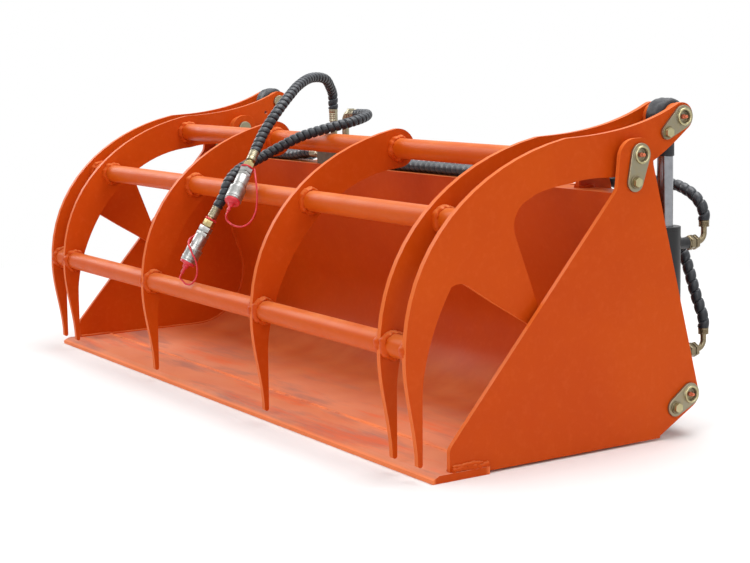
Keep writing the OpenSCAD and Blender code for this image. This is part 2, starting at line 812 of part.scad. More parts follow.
// Quarter bend from +Z towards +X
module elbow(d, r) translate([r, 0, 0]) rotate([90, 0, 180]) rotate_extrude(angle = 90) translate([r, 0]) circle(d = d);

module block_fittings() {
    left_x = -block_x - block_w / 2;
    right_x = -block_x + block_w / 2;
    top_z = lip_z + block_h;
    color(zinc) {
        for (step = [-hose_step, hose_step] / 2, side = [-1, 1])
            translate([side < 0 ? left_x : right_x, lip_mid + hose_line + step, lip_z + side_port_z])
                rotate([0, 90 * side, 0])
                    hose_end(side_hex, side_hex_l, side_ferrule_l);
        translate([-block_x - top_fit_x, lip_mid + top_fit_y, top_z]) {
            hex(port_hex, top_hex_h);
            translate([0, 0, top_hex_h]) cylinder(d = elbow_d, h = top_neck_h);
            translate([0, 0, top_hex_h + top_neck_h]) ferrule(top_ferrule_h);
        }
        translate([-block_x + elbow_fit_x, lip_mid + elbow_fit_y, top_z]) {
            hex(port_hex, top_hex_h);
            translate([0, 0, top_hex_h]) cylinder(d = elbow_d, h = elbow_fit_h);
            translate([0, 0, top_hex_h + elbow_fit_h]) elbow(elbow_d, elbow_r);
            translate([elbow_r, 0, top_hex_h + elbow_fit_h + elbow_r]) rotate([0, 90, 0])
                hose_end(side_hex, elbow_nut_l, elbow_ferrule_l);
        }
    }
}

// Cylinders, each along Z between its two pins

base_at = barrel_pin_z + base_h;
barrel_top = barrel_pin_z + barrel_len;
gland_z = barrel_top - gland_h;
neck_z = rod_pin_z - neck_len;
piston_z = gland_z - piston_gap - piston_h;
port_boss_from = bore_d / 2 + port_boss_root;

module barrel(side) {
    color(black_paint) on_side(side) difference() {
        union() {
            bar(eye_in_x, eye_out_x, barrel_pin_at, 2 * barrel_eye_r);
            translate([ram_x, ram_y, barrel_pin_z]) cylinder(d = eye_w, h = barrel_foot + over);
            translate([ram_x, ram_y, barrel_pin_z + barrel_foot])
                cylinder(d = barrel_d, h = barrel_len - barrel_foot);
            for (z = [port_low, port_high])
                translate([ram_x, ram_y + port_boss_from, barrel_pin_z + z]) rotate([-90, 0, 0])
                    cylinder(d = port_boss_d, h = barrel_d / 2 - port_boss_from + port_boss_l);
        }
        translate([ram_x, ram_y, base_at]) cylinder(d = bore_d, h = barrel_len);
        bar(eye_in_x - over, eye_out_x + over, barrel_pin_at, pin_d + 2 * fit);
        for (z = [port_low, port_high])
            translate([ram_x, ram_y, barrel_pin_z + z]) rotate([-90, 0, 0])
                cylinder(d = port_d, h = barrel_d + port_boss_l);
    }
}

// Gland with its rim on the barrel and a groove for the rod seal
module gland(side) {
    color(black_paint) on_side(side) translate([ram_x, ram_y, gland_z]) difference() {
        union() {
            cylinder(d = bore_d - 2 * fit, h = gland_h);
            translate([0, 0, gland_h]) cylinder(d = barrel_d, h = gland_rim);
        }
        translate([0, 0, -over]) cylinder(d = rod_d + 2 * fit, h = gland_h + gland_rim + 2 * over);
        translate([0, 0, (gland_h - seal_h) / 2]) cylinder(d = seal_d, h = seal_h);
    }
}

module rod_seal(side) {
    color(rubber) on_side(side) translate([ram_x, ram_y, gland_z + (gland_h - seal_h) / 2 + fit])
        difference() {
            cylinder(d = seal_d - 2 * fit, h = seal_h - 2 * fit);
            translate([0, 0, -over]) cylinder(d = rod_d + 2 * fit, h = seal_h + 2 * over);
        }
}

module rod(side) {
    color(chrome) on_side(side) translate([ram_x, ram_y, piston_z - rod_tail])
        cylinder(d = rod_d, h = neck_z + rod_socket - piston_z + rod_tail);
}

module piston(side) {
    color(zinc) on_side(side) translate([ram_x, ram_y, piston_z]) difference() {
        cylinder(d = bore_d - 2 * fit, h = piston_h);
        translate([0, 0, -over]) cylinder(d = rod_d + 2 * fit, h = piston_h + 2 * over);
    }
}

module rod_eye(side) {
    color(black_paint) on_side(side) difference() {
        union() {
            bar(eye_in_x, eye_out_x, rod_pin_at, 2 * rod_eye_r);
            translate([ram_x, ram_y, neck_z]) cylinder(d = neck_d, h = neck_len);
        }
        bar(eye_in_x - over, eye_out_x + over, rod_pin_at, pin_d + 2 * fit);
        translate([ram_x, ram_y, neck_z - over]) cylinder(d = rod_d + 2 * fit, h = rod_socket + over + fit);
    }
}

// Adapter, bent tube and ferrule at the two ports of a barrel
port_boss_y = ram_y + barrel_d / 2 + port_boss_l;
port_tube_y = port_boss_y + port_hex_l + port_tube_run + port_tube_r;
port_rise = port_tube_r + port_tube_rise + port_ferrule_h;

module port_fittings(side) {
    color(zinc) on_side(side) for (z = [port_low, port_high]) {
        translate([ram_x, port_boss_y, barrel_pin_z + z]) rotate([-90, 0, 0]) {
            hex(port_hex, port_hex_l);
            translate([0, 0, port_hex_l]) cylinder(d = port_tube_d, h = port_tube_run);
        }
        translate([ram_x, port_tube_y - port_tube_r, barrel_pin_z + z]) rotate([90, 0, 90])
            translate([0, port_tube_r]) rotate([0, 0, -90]) rotate_extrude(angle = 90)
                translate([port_tube_r, 0]) circle(d = port_tube_d);
        translate([ram_x, port_tube_y, barrel_pin_z + z + port_tube_r]) {
            cylinder(d = port_tube_d, h = port_tube_rise);
            translate([0, 0, port_tube_rise]) ferrule(port_ferrule_h);
        }
    }
}

// Parts of the grapple

tube_hole_d = tube_d + 2 * fit;

// Tine of a pair, between two faces, with an arm to the rod pin
module arm_tine(from, to) {
    across(from, to) difference() {
        polygon(arm_tine_outline());
        translate(pivot_at) circle(d = pin_d + 2 * fit);
        translate(rod_pin_at) circle(d = pin_d + 2 * fit);
    }
}

module outer_tine(side) {
    color(paint) on_side(side) difference() {
        union() {
            arm_tine(outer_in_x, outer_x);
            across(outer_in_x, outer_x) polygon(wing_outline());
            difference() {
                bar(eye_out_x + side_gap, outer_in_x + over, rod_pin_at, 2 * arm_boss_r);
                bar(eye_in_x, outer_x, rod_pin_at, pin_d + 2 * fit);
            }
        }
        bar(outer_in_x - over, outer_x + over, rod_pin_at + rod_bolt, bolt_hole_d);
    }
}

module inner_tine(side) {
    color(paint) on_side(side) difference() {
        union() {
            arm_tine(pair_in_x, pair_x);
            difference() {
                bar(pair_x - over, eye_in_x - side_gap, rod_pin_at, 2 * arm_boss_r);
                bar(plate_x, eye_out_x, rod_pin_at, pin_d + 2 * fit);
            }
        }
        bar(pair_in_x - over, pair_x + over, lower_tube_at, tube_hole_d);
        bar(pair_in_x - over, pair_x + over, middle_tube_at, tube_hole_d);
        bar(pair_in_x - over, pair_x + over, rod_pin_at + rod_bolt, bolt_hole_d);
    }
}

module middle_tine(side) {
    color(paint) on_side(side) difference() {
        across(middle_x - tine_t / 2, middle_x + tine_t / 2) polygon(middle_tine_outline());
        for (at = [lower_tube_at, middle_tube_at, upper_tube_at])
            bar(middle_x - tine_t, middle_x + tine_t, at, tube_hole_d);
    }
}

// Cross tube between two faces on both sides of the middle
module cross_tube(half, at) {
    color(paint) difference() {
        bar(-half, half, at, tube_d);
        bar(-half - over, half + over, at, tube_d - 2 * tube_wall);
    }
}

module pivot_sleeve(side) {
    color(paint) on_side(side) difference() {
        bar(pair_x, outer_in_x, pivot_at, sleeve_d);
        bar(pair_x - over, outer_in_x + over, pivot_at, pin_d + 2 * fit);
    }
}

// Rod pin in two stubs, one in each tine of the pair
module rod_pin(side) {
    color(zinc) on_side(side) {
        kept_pin(eye_out_x + side_gap, outer_x, rod_pin_at, rod_bolt, keeper_r, rod_keeper_bolt_r);
        bar(pair_in_x - pin_tail, eye_in_x - side_gap, rod_pin_at, pin_d);
    }
}

module arm_keeper_bolts() {
    color(zinc) for (side = [-1, 1]) on_side(side) keeper_bolt(outer_x, tine_t, rod_pin_at + rod_bolt);
}

module arm_grease_nipples() {
    color(plug_red) for (side = [-1, 1]) on_side(side)
        grease_nipple(outer_x + keeper_t + pin_over, rod_pin_at);
}

// Hoses

function mirrored(r) = [for (p = r) [-p[0], p[1], p[2]]];

// Route whose start is led to a port, its first points moving along
function led(r, z) =
    let (shift = [ram_x, port_tube_y, barrel_pin_z + z + port_rise] - r[0])
    [for (i = [0:len(r) - 1]) r[i] + shift * max(0, min(1, 1 - (i - 1) / led_points))];

function gland_hose_route(side) =
    let (run = led(gland_hose_run, port_high))
    side > 0 ? concat(run, gland_hose_right_end) : concat(mirrored(run), gland_hose_left_end);

function base_hose_route(side) =
    let (run = led(base_hose_run, port_low))
    side > 0 ? concat(run, base_hose_right_end) : concat(mirrored(run), base_hose_left_end);

module gland_hose(side) {
    color(rubber) ribbed_hose(side > 0 ? "gland_hose_right" : "gland_hose_left",
        gland_hose_route(side), ram_pitch, 1);
}

module base_hose(side) {
    color(rubber) ribbed_hose(side > 0 ? "base_hose_right" : "base_hose_left",
        base_hose_route(side), ram_pitch, 1);
}

module supply_hose(name, route) {
    color(rubber) ribbed_hose(name, route, supply_pitch, bore_rib_step);
}

// Places a piece at a length past the end of a route
module past(route, l) {
    n = len(route) - 1;
    dir = unit(route[n] - route[n - 1]);
    along(route[n] + l * dir, dir) children();
}

coupler_end = hose_ferrule_l + coupler_nut_l + coupler_hex_l + coupler_l + coupler_sleeve_l;

module coupler(route) {
    nut_at = hose_ferrule_l;
    hex_at = nut_at + coupler_nut_l;
    body_at = hex_at + coupler_hex_l;
    color(chrome) past(route, 0) {
        translate([0, 0, hose_gap]) ferrule(hose_ferrule_l);
        translate([0, 0, nut_at]) hex(coupler_nut_hex, coupler_nut_l);
        translate([0, 0, hex_at]) hex(coupler_hex, coupler_hex_l);
        translate([0, 0, body_at]) cylinder(d = coupler_d, h = coupler_l);
        translate([0, 0, body_at + coupler_l]) cylinder(d = coupler_sleeve_d, h = coupler_sleeve_l);
    }
}

module dust_plug(route) {
    color(plug_red) past(route, coupler_end) {
        cylinder(d = plug_d, h = plug_flange_l);
        translate([0, 0, plug_flange_l]) cylinder(d = plug_boss_d, h = plug_boss_l);
        translate([0, 0, plug_flange_l + plug_boss_l]) cylinder(d = plug_tail_d, h = plug_tail_l);
    }
}

module lanyard(route) {
    color(plug_red) plain_cord(route, lanyard_d);
}

bucket_sheet();
cutting_edge();
side_plate(-1);  // side_plate_left
side_plate(1);  // side_plate_right
inner_plate(-1);  // inner_plate_left
inner_plate(1);  // inner_plate_right
rear_beam();
hitch_bracket(-1);  // hitch_bracket_left
hitch_bracket(1);  // hitch_bracket_right
pivot_pin(-1);  // pivot_pin_left
pivot_pin(1);  // pivot_pin_right
barrel_pin(-1);  // barrel_pin_left
barrel_pin(1);  // barrel_pin_right
keeper_bolts();
grease_nipples();
hose_block();
block_fittings();
barrel(-1);  // barrel_left
barrel(1);  // barrel_right
gland(-1);  // gland_left
gland(1);  // gland_right
port_fittings(-1);  // port_fittings_left
port_fittings(1);  // port_fittings_right
rod(-1);  // rod_left
rod(1);  // rod_right
rod_eye(-1);  // rod_eye_left
rod_eye(1);  // rod_eye_right
piston(-1);  // piston_left
piston(1);  // piston_right
rod_seal(-1);  // rod_seal_left
rod_seal(1);  // rod_seal_right
gland_hose(-1);  // gland_hose_left
gland_hose(1);  // gland_hose_right
base_hose(-1);  // base_hose_left
base_hose(1);  // base_hose_right
outer_tine(-1);  // outer_tine_left
outer_tine(1);  // outer_tine_right
inner_tine(-1);  // inner_tine_left
inner_tine(1);  // inner_tine_right
middle_tine(-1);  // middle_tine_left
middle_tine(1);  // middle_tine_right
cross_tube(outer_in_x, lower_tube_at);  // lower_cross_tube
cross_tube(outer_in_x, middle_tube_at);  // middle_cross_tube
cross_tube(pair_in_x, upper_tube_at);  // upper_cross_tube
pivot_sleeve(-1);  // pivot_sleeve_left
pivot_sleeve(1);  // pivot_sleeve_right
rod_pin(-1);  // rod_pin_left
rod_pin(1);  // rod_pin_right
arm_keeper_bolts();
arm_grease_nipples();
supply_hose("supply_hose_1", supply_hose_1_route);  // supply_hose_1
supply_hose("supply_hose_2", supply_hose_2_route);  // supply_hose_2
coupler(supply_hose_1_route);  // coupler_1
coupler(supply_hose_2_route);  // coupler_2
dust_plug(supply_hose_1_route);  // dust_plug_1
dust_plug(supply_hose_2_route);  // dust_plug_2
lanyard(lanyard_1_route);  // lanyard_1
lanyard(lanyard_2_route);  // lanyard_2
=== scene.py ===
"""Grapple bucket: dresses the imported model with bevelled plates, welds, hoses and fittings."""

import json
import math

import bmesh
import bpy
from mathutils import Matrix, Vector, noise

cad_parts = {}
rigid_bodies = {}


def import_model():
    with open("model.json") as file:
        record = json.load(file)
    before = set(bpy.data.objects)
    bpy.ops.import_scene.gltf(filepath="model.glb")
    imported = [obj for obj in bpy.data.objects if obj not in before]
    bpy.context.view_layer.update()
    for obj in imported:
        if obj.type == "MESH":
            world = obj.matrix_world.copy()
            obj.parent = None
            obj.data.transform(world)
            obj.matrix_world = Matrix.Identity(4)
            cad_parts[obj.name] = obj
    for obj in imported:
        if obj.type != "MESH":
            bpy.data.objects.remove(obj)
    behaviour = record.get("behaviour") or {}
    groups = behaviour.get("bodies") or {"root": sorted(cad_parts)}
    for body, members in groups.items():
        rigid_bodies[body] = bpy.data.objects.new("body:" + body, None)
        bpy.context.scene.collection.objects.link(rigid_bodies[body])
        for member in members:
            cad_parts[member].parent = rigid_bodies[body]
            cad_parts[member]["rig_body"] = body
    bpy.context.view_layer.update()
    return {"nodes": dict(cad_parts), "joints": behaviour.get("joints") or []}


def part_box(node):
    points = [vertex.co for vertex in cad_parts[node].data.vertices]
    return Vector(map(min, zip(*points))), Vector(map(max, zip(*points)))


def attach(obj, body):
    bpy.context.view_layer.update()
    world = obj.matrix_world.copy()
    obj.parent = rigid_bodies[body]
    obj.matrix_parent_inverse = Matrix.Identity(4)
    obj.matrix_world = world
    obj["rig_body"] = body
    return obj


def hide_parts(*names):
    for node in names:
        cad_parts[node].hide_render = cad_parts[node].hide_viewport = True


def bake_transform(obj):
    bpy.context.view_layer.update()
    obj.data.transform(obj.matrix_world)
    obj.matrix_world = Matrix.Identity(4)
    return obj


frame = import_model()

SIDES = {"left": -1, "right": 1}
MM = 0.001

# Places from the frame

joint_at = {j["name"]: Vector(j["pos_m"]) for j in frame["joints"] if "pos_m" in j}
pivot_at = joint_at["grapple_pivot"]
barrel_pin_at = joint_at["barrel_right_pivot"]


def middle(node):
    """Centre of a node's box."""
    low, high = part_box(node)
    return (low + high) / 2


eye_low, eye_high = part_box("rod_eye_right")
eye_r = (eye_high.y - eye_low.y) / 2
rod_pin_at = Vector((0, eye_low.y + eye_r, eye_high.z - eye_r))
tube_at = {n: middle(n + "_cross_tube") for n in ("lower", "middle", "upper")}
tube_half = {n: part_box(n + "_cross_tube")[1].x for n in ("lower", "middle", "upper")}
tube_r = (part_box("lower_cross_tube")[1].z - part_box("lower_cross_tube")[0].z) / 2
tine_t = 12 * MM
plate_t = 12 * MM
side_t = 10 * MM
side_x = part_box("bucket_sheet")[1].x + side_t
side_in_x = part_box("bucket_sheet")[1].x
outer_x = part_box("outer_tine_right")[1].x
outer_in_x = outer_x - tine_t
pair_in_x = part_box("inner_tine_right")[0].x
pair_x = pair_in_x + tine_t
middle_x = middle("middle_tine_right").x
plate_in_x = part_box("rear_beam")[1].x
plate_x = plate_in_x + plate_t
hitch_low_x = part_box("hitch_bracket_right")[0].x
hitch_high_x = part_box("hitch_bracket_right")[1].x

# Camera, placed by a fit to the photograph's straight edges

CAMERA_AT = Vector((3.3073, -1.6620, 0.7953))
AZIMUTH = math.radians(58.2725)
ELEVATION = math.radians(8.2873)
ROLL = math.radians(-1.3248)
FOCAL_PX = 1638
PHOTO_W = 750
SENSOR = 36.0


def add_camera():
    back = Vector((math.sin(AZIMUTH) * math.cos(ELEVATION),
                   -math.cos(AZIMUTH) * math.cos(ELEVATION), math.sin(ELEVATION)))
    level = Vector((math.cos(AZIMUTH), math.sin(AZIMUTH), 0))
    upright = back.cross(level)
    right = math.cos(ROLL) * level + math.sin(ROLL) * upright
    up = math.cos(ROLL) * upright - math.sin(ROLL) * level
    data = bpy.data.cameras.new("camera")
    data.sensor_width = SENSOR
    data.lens = FOCAL_PX / PHOTO_W * SENSOR
    data.clip_end = 100
    camera = bpy.data.objects.new("camera", data)
    bpy.context.scene.collection.objects.link(camera)
    turn = Matrix((right, up, back)).transposed().to_4x4()
    camera.matrix_world = Matrix.Translation(CAMERA_AT) @ turn
    bpy.context.scene.camera = camera


add_camera()

# Routes of the hoses and lanyards, as the solids have them, in millimetres

GLAND_HOSE_RUN = [
    (828, 665.5, 422), (828, 665.5, 433), (825, 664, 446), (816, 662, 460), (799, 661, 473),
    (775, 662, 482), (748, 664, 488), (719, 651, 494), (700, 605, 505), (694, 557, 516),
    (688, 510, 520), (672, 462, 518), (646, 420, 514), (612, 399, 513), (570, 396, 513)]
BASE_HOSE_RUN = [
    (828, 665.5, 199), (828, 665.5, 214), (824, 663, 232), (816, 660, 255), (806, 657, 285),
    (796, 655, 315), (783, 655, 342), (765, 655, 367), (739, 650, 394), (711, 636, 424),
    (685, 608, 459), (662, 570, 495), (646, 526, 516), (630, 482, 521), (602, 446, 517),
    (566, 426, 513), (526, 422, 513)]
GLAND_HOSE_END = {
    "right": [(300, 396, 513), (40, 396, 513), (-20, 396, 517), (-64, 396, 524), (-90, 396, 524)],
    "left": [(-420, 396, 513), (-380, 396, 517), (-336, 396, 524), (-310, 396, 524)]}
BASE_HOSE_END = {
    "right": [(290, 422, 513), (40, 422, 513), (-20, 422, 517), (-64, 422, 524), (-90, 422, 524)],
    "left": [(-420, 422, 513), (-380, 422, 517), (-336, 422, 524), (-310, 422, 524)]}
SUPPLY_ROUTES = {
    1: [(-214, 405, 636), (-214, 405, 662), (-190, 384, 690), (-155, 348, 712),
        (-118, 290, 716), (-73, 230, 701), (-41, 187, 679), (-15, 141, 646), (0, 97, 603),
        (12, 74.2, 576.5), (21, 58.7, 558)],
    2: [(-112, 410, 626), (-86, 410, 626), (-40, 397, 626), (-4, 360, 620), (10, 310, 611),
        (-3, 260, 600), (-29, 205, 583), (-46, 160, 561), (-56, 118, 540), (-52, 80, 526),
        (-40, 44, 512), (-27, 12, 487), (-25, -2.2, 456.8), (-28, -15.4, 434.5)]}
LANYARD_ROUTES = {
    1: [(80.5, -43.5, 436), (84, -49.5, 429), (81, -47, 416), (86.5, -38.5, 406.5),
        (92.5, -26.5, 401), (97, -14, 401.5), (101, 1, 411), (102.5, 13, 431),
        (101.5, 18, 454.5), (98, 20.5, 476.5), (87.5, 24.5, 498.5), (71.5, 31.5, 513),
        (51.5, 40.5, 522)],
    2: [(-47.5, -101.5, 289), (-48.5, -106, 281.5), (-45.5, -100, 271), (-39, -95.5, 264.5),
        (-30, -88, 265.5), (-22, -80, 277), (-16.5, -77.5, 296), (-15.5, -81, 318.5),
        (-21, -88, 339.5), (-35.5, -87.5, 356.5), (-49.5, -77, 365.5), (-59.5, -60.5, 370.5),
        (-60.5, -44, 382), (-50.5, -31, 393.5), (-35.5, -18.5, 398.5)]}
ROUTE_STEPS = 12
GUARD_D = 25 * MM
LANYARD_D = 4 * MM


def mirrored(route):
    return [(-x, y, z) for x, y, z in route]


def headings(points):
    """Direction at each route point, straight along the first and last pair."""
    last = len(points) - 1
    out = []
    for i in range(len(points)):
        low, high = (0, 1) if i <= 1 else (last - 1, last) if i >= last - 1 else (i - 1, i + 1)
        out.append((points[high] - points[low]).normalized())
    return out


def smooth_path(route):
    """Smooth curve through a route in millimetres, as points in metres."""
    points = [Vector(p) * MM for p in route]
    ways = headings(points)
    path = []
    for i in range(len(points) - 1):
        p, q, reach = points[i], points[i + 1], (points[i + 1] - points[i]).length
        for k in range(ROUTE_STEPS):
            s = k / ROUTE_STEPS
            path.append((2 * s**3 - 3 * s**2 + 1) * p + (s**3 - 2 * s**2 + s) * reach * ways[i]
                        + (3 * s**2 - 2 * s**3) * q + (s**3 - s**2) * reach * ways[i + 1])
    return path + [points[-1]]


def run_length(path):
    return sum((b - a).length for a, b in zip(path, path[1:]))


def spaced(path, count):
    """count + 1 points at equal steps along a path."""
    total = run_length(path)
    out, run, i = [path[0].copy()], 0.0, 0
    for k in range(1, count):
        target = total * k / count
        while run + (path[i + 1] - path[i]).length < target:
            run += (path[i + 1] - path[i]).length
            i += 1
        step = path[i + 1] - path[i]
        out.append(path[i] + step * ((target - run) / step.length))
    return out + [path[-1].copy()]


# Making pieces


def finish_piece(name, bm, material, body, replaces=(), smooth=40):
    """Turns a bmesh into a piece that rides on a body."""
    mesh = bpy.data.meshes.new(name)
    bm.to_mesh(mesh)
    bm.free()
    mesh.shade_smooth()
    mesh.set_sharp_from_angle(angle=math.radians(smooth))
    piece = bpy.data.objects.new(name, mesh)
    bpy.context.scene.collection.objects.link(piece)
    mesh.materials.append(material)
    if body:
        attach(piece, body)
    if replaces:
        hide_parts(*replaces)
    return piece


def add_bevel(piece, width, segments=2, limit=38):
    mod = piece.modifiers.new("bevel", "BEVEL")
    mod.width = width
    mod.segments = segments
    mod.limit_method = "ANGLE"
    mod.angle_limit = math.radians(limit)
    mod.harden_normals = True


def dress(node, material, bevel, limit=38, mend=None):
    """Bevelled copy of a CAD node that stands for it."""
    source = frame["nodes"][node]
    bm = bmesh.new()
    bm.from_mesh(source.data)
    bmesh.ops.remove_doubles(bm, verts=bm.verts, dist=0.00001)
    bmesh.ops.dissolve_limit(bm, angle_limit=math.radians(0.3), verts=bm.verts, edges=bm.edges)
    if mend:
        mend(bm)
    piece = finish_piece(
        node + "_dressed", bm, material, source["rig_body"], (node,), limit)
    add_bevel(piece, bevel, limit=limit)
    return piece


def split_faces(bm):
    """Cuts faces with holes or notches into plain ones."""
    bmesh.ops.connect_verts_concave(bm, faces=[f for f in bm.faces if len(f.verts) > 4])


# Where the rear beam's corners meet the back, as (y, z), and the way out of the back there
BEAM_CORNERS = ((0.4304, 0.3671), (0.4643, 0.2730))
BACK_OUTWARD = Vector((0, 0.94, 0.342))
FILM_T = 2 * MM


def thicken_film(bm):
    """Moves a bracket's slot corners off the sheet's line, inside the beam that fills the slot."""
    for v in bm.verts:
        for y, z in BEAM_CORNERS:
            if abs(v.co.y - y) < MM and abs(v.co.z - z) < MM:
                v.co += BACK_OUTWARD * FILM_T


def place_along(at, way):
    """Matrix that takes millimetres along +Z to a place and direction in the frame."""
    turn = Vector((0, 0, 1)).rotation_difference(Vector(way)).to_matrix().to_4x4()
    return Matrix.Translation(at) @ turn @ Matrix.Scale(MM, 4)


def join(bm, part, where=None):
    """Adds a closed bmesh to another one."""
    bmesh.ops.remove_doubles(part, verts=part.verts, dist=0.000005 if where is None else 0.005)
    bmesh.ops.recalc_face_normals(part, faces=part.faces)
    if where is not None:
        bmesh.ops.transform(part, matrix=where, verts=part.verts)
    mesh = bpy.data.meshes.new("part")
    part.to_mesh(mesh)
    part.free()
    bm.from_mesh(mesh)
    bpy.data.meshes.remove(mesh)


def lathe(profile, steps=40):
    """Spins a profile of (radius, height) points round Z, in millimetres."""
    part = bmesh.new()
    verts = [part.verts.new((r, 0, z)) for r, z in profile]
    edges = [part.edges.new(pair) for pair in zip(verts, verts[1:])]
    bmesh.ops.spin(part, geom=verts + edges, cent=(0, 0, 0), axis=(0, 0, 1), dvec=(0, 0, 0),
                   angle=math.tau, steps=steps, use_merge=True, use_duplicate=False)
    return part


def hex_bar(flats, length, chamfer=1.2):
    """Hexagon bar along Z with its two rims chamfered, in millimetres."""
    part = bmesh.new()
    radius = flats / math.sqrt(3)
    bmesh.ops.create_cone(part, cap_ends=True, segments=6, radius1=radius, radius2=radius, depth=length,
                          matrix=Matrix.Translation((0, 0, length / 2)))
    rims = [e for e in part.edges if abs(e.verts[0].co.z - e.verts[1].co.z) < 0.001]
    bmesh.ops.bevel(part, geom=rims, offset=chamfer, offset_type="OFFSET", segments=2, profile=0.5,
                    affect="EDGES", material=-1)
    return part


def ferrule_profile(d, l):
    """A hose ferrule: a rolled mouth, a waist of crimp rings and a plain collar."""
    r = d / 2
    out = [(0, 0), (r - 0.8, 0), (r, 0.8)]
    step = l * 0.62 / 4
    for k in range(4):
        z = l * 0.12 + k * step
        out += [(r, z), (r - 0.7, z + step * 0.3), (r - 0.7, z + step * 0.55), (r, z + step * 0.85)]
    return out + [(r, l - 1), (r - 1, l), (0, l)]


def ring_profile(d, l):
    r = d / 2
    return [(0, 0), (r - 0.6, 0), (r, 0.6), (r, l - 0.6), (r - 0.6, l), (0, l)]


def round_profile(r, thick, shift=0):
    """Circle of radius thick at distance r from the axis."""
    turns = [math.tau * i / 12 for i in range(13)]
    return [(r + thick * math.cos(a), thick * math.sin(a) + shift) for a in turns]


def stack(bm, at, way, parts):
    """Hexagons, rings and ferrules one after another along a direction, in millimetres."""
    z = 0.0
    for kind, size, length in parts:
        if kind == "hex":
            part = hex_bar(size, length)
        else:
            profile = ferrule_profile if kind == "ferrule" else ring_profile
            part = lathe(profile(size, length))
        join(bm, part, place_along(Vector(at) + Vector(way) * z * MM, way))
        z += length


def tube(path, radius, sides, rings, closed=False):
    """Wraps a grid round a path in metres, with radius(along, turn) at each point."""
    points = spaced(path, rings)
    total = run_length(path)
    ways = [(points[min(i + 1, rings)] - points[max(i - 1, 0)]).normalized() for i in range(rings + 1)]
    ways[0] = (path[1] - path[0]).normalized()
    ways[-1] = (path[-1] - path[-2]).normalized()
    if closed:
        ways[0] = ways[-1] = (points[1] - points[-2]).normalized()
    start = Vector((1, 0, 0)) if abs(ways[0].x) < 0.7 else Vector((0, 1, 0))
    side = ways[0].cross(start).normalized()
    sideways = []
    for way in ways:
        side = (side - side.dot(way) * way).normalized()
        sideways.append(side)
    part = bmesh.new()
    bmesh.ops.create_grid(part, x_segments=sides, y_segments=rings, size=0.5)
    for v in part.verts:
        turn = (v.co.x + 0.5) * math.tau
        k = round((v.co.y + 0.5) * rings)
        r = radius(total * k / rings, turn % math.tau)
        across = ways[k].cross(sideways[k])
        v.co = points[k] + r * (math.cos(turn) * sideways[k] + math.sin(turn) * across)
    bmesh.ops.remove_doubles(part, verts=part.verts, dist=0.000001)
    if not closed:
        rims = [e for e in part.edges if e.is_boundary]
        bmesh.ops.holes_fill(part, edges=rims, sides=sides + 1)
    return part


# Materials


def linear(rgb):
    """sRGB 0 to 255 as a linear colour."""
    return tuple(((c / 255 + 0.055) / 1.055) ** 2.4 if c > 10 else c / 255 / 12.92 for c in rgb) + (1,)


class Nodes:
    """Short calls for the nodes of one material."""

    def __init__(self, name):
        self.material = bpy.data.materials.new(name)
        self.material.use_nodes = True
        self.tree = self.material.node_tree
        self.shader = self.tree.nodes["Principled BSDF"]
        self.coords = self.add("ShaderNodeTexCoord").outputs["Object"]

    def add(self, kind, **values):
        node = self.tree.nodes.new(kind)
        for key, value in values.items():
            setattr(node, key, value)
        return node

    def link(self, out, socket):
        self.tree.links.new(out, socket)

    def noise(self, scale, detail=4, rough=0.55, stretch=(1, 1, 1)):
        place = self.add("ShaderNodeMapping")
        place.inputs["Scale"].default_value = stretch
        self.link(self.coords, place.inputs["Vector"])
        node = self.add("ShaderNodeTexNoise")
        node.inputs["Scale"].default_value = scale
        node.inputs["Detail"].default_value = detail
        node.inputs["Roughness"].default_value = rough
        self.link(place.outputs["Vector"], node.inputs["Vector"])
        return node.outputs["Fac"]

    def ramp(self, value, low, high, out_low=0.0, out_high=1.0):
        node = self.add("ShaderNodeMapRange", clamp=True)
        ends = {"From Min": low, "From Max": high, "To Min": out_low, "To Max": out_high}
        for key, number in ends.items():
            node.inputs[key].default_value = number
        self.link(value, node.inputs["Value"])
        return node.outputs["Result"]

    def math(self, operation, a, b):
        node = self.add("ShaderNodeMath", operation=operation)
        for socket, value in zip(node.inputs, (a, b)):
            if isinstance(value, (int, float)):
                socket.default_value = value
            else:
                self.link(value, socket)
        return node.outputs["Value"]

    def mix(self, share, a, b, blend="MIX"):
        node = self.add("ShaderNodeMix", data_type="RGBA", blend_type=blend)
        for socket, value in ((node.inputs["Factor"], share), (node.inputs[6], a), (node.inputs[7], b)):
            if isinstance(value, (int, float, tuple)):
                socket.default_value = value
            else:
                self.link(value, socket)
        return node.outputs[2]

    def axis(self, source, name):
        node = self.add("ShaderNodeSeparateXYZ")
        self.link(source, node.inputs["Vector"])
        return node.outputs[name]

    def normal(self, name):
        return self.axis(self.add("ShaderNodeNewGeometry").outputs["Normal"], name)

    def bump(self, height, strength, distance):
        node = self.add("ShaderNodeBump")
        node.inputs["Strength"].default_value = strength
        node.inputs["Distance"].default_value = distance
        self.link(height, node.inputs["Height"])
        self.link(node.outputs["Normal"], self.shader.inputs["Normal"])

    def set(self, **values):
        for key, value in values.items():
            socket = self.shader.inputs[key.replace("_", " ")]
            if isinstance(value, (int, float, tuple)):
                socket.default_value = value
            else:
                self.link(value, socket)


PAINT_BASE = (0.56, 0.070, 0.003, 1)
PAINT_WARM = (0.58, 0.088, 0.004, 1)
PAINT_DEEP = (0.50, 0.052, 0.003, 1)
PAINT_PALE = (0.74, 0.150, 0.035, 1)
# Pale orange: a painted highlight on the plates' thin edges, and the colour of orange streaks of wear on
# the floor
EDGE_HIGHLIGHT_AND_STREAK_ORANGE = linear((234, 122, 54))
# Dust, and a painted highlight, on what faces up
DUST_AND_TOP_HIGHLIGHT = linear((228, 138, 80))
GREY_SCUFF = linear((172, 118, 104))
FLOOR_DUST = linear((222, 146, 114))
# Pale orange of the band along the edge's seam, and of a painted highlight on the nose
SEAM_PAINT_AND_NOSE_HIGHLIGHT = linear((246, 140, 84))
FLOOR_BARE = linear((232, 100, 44))

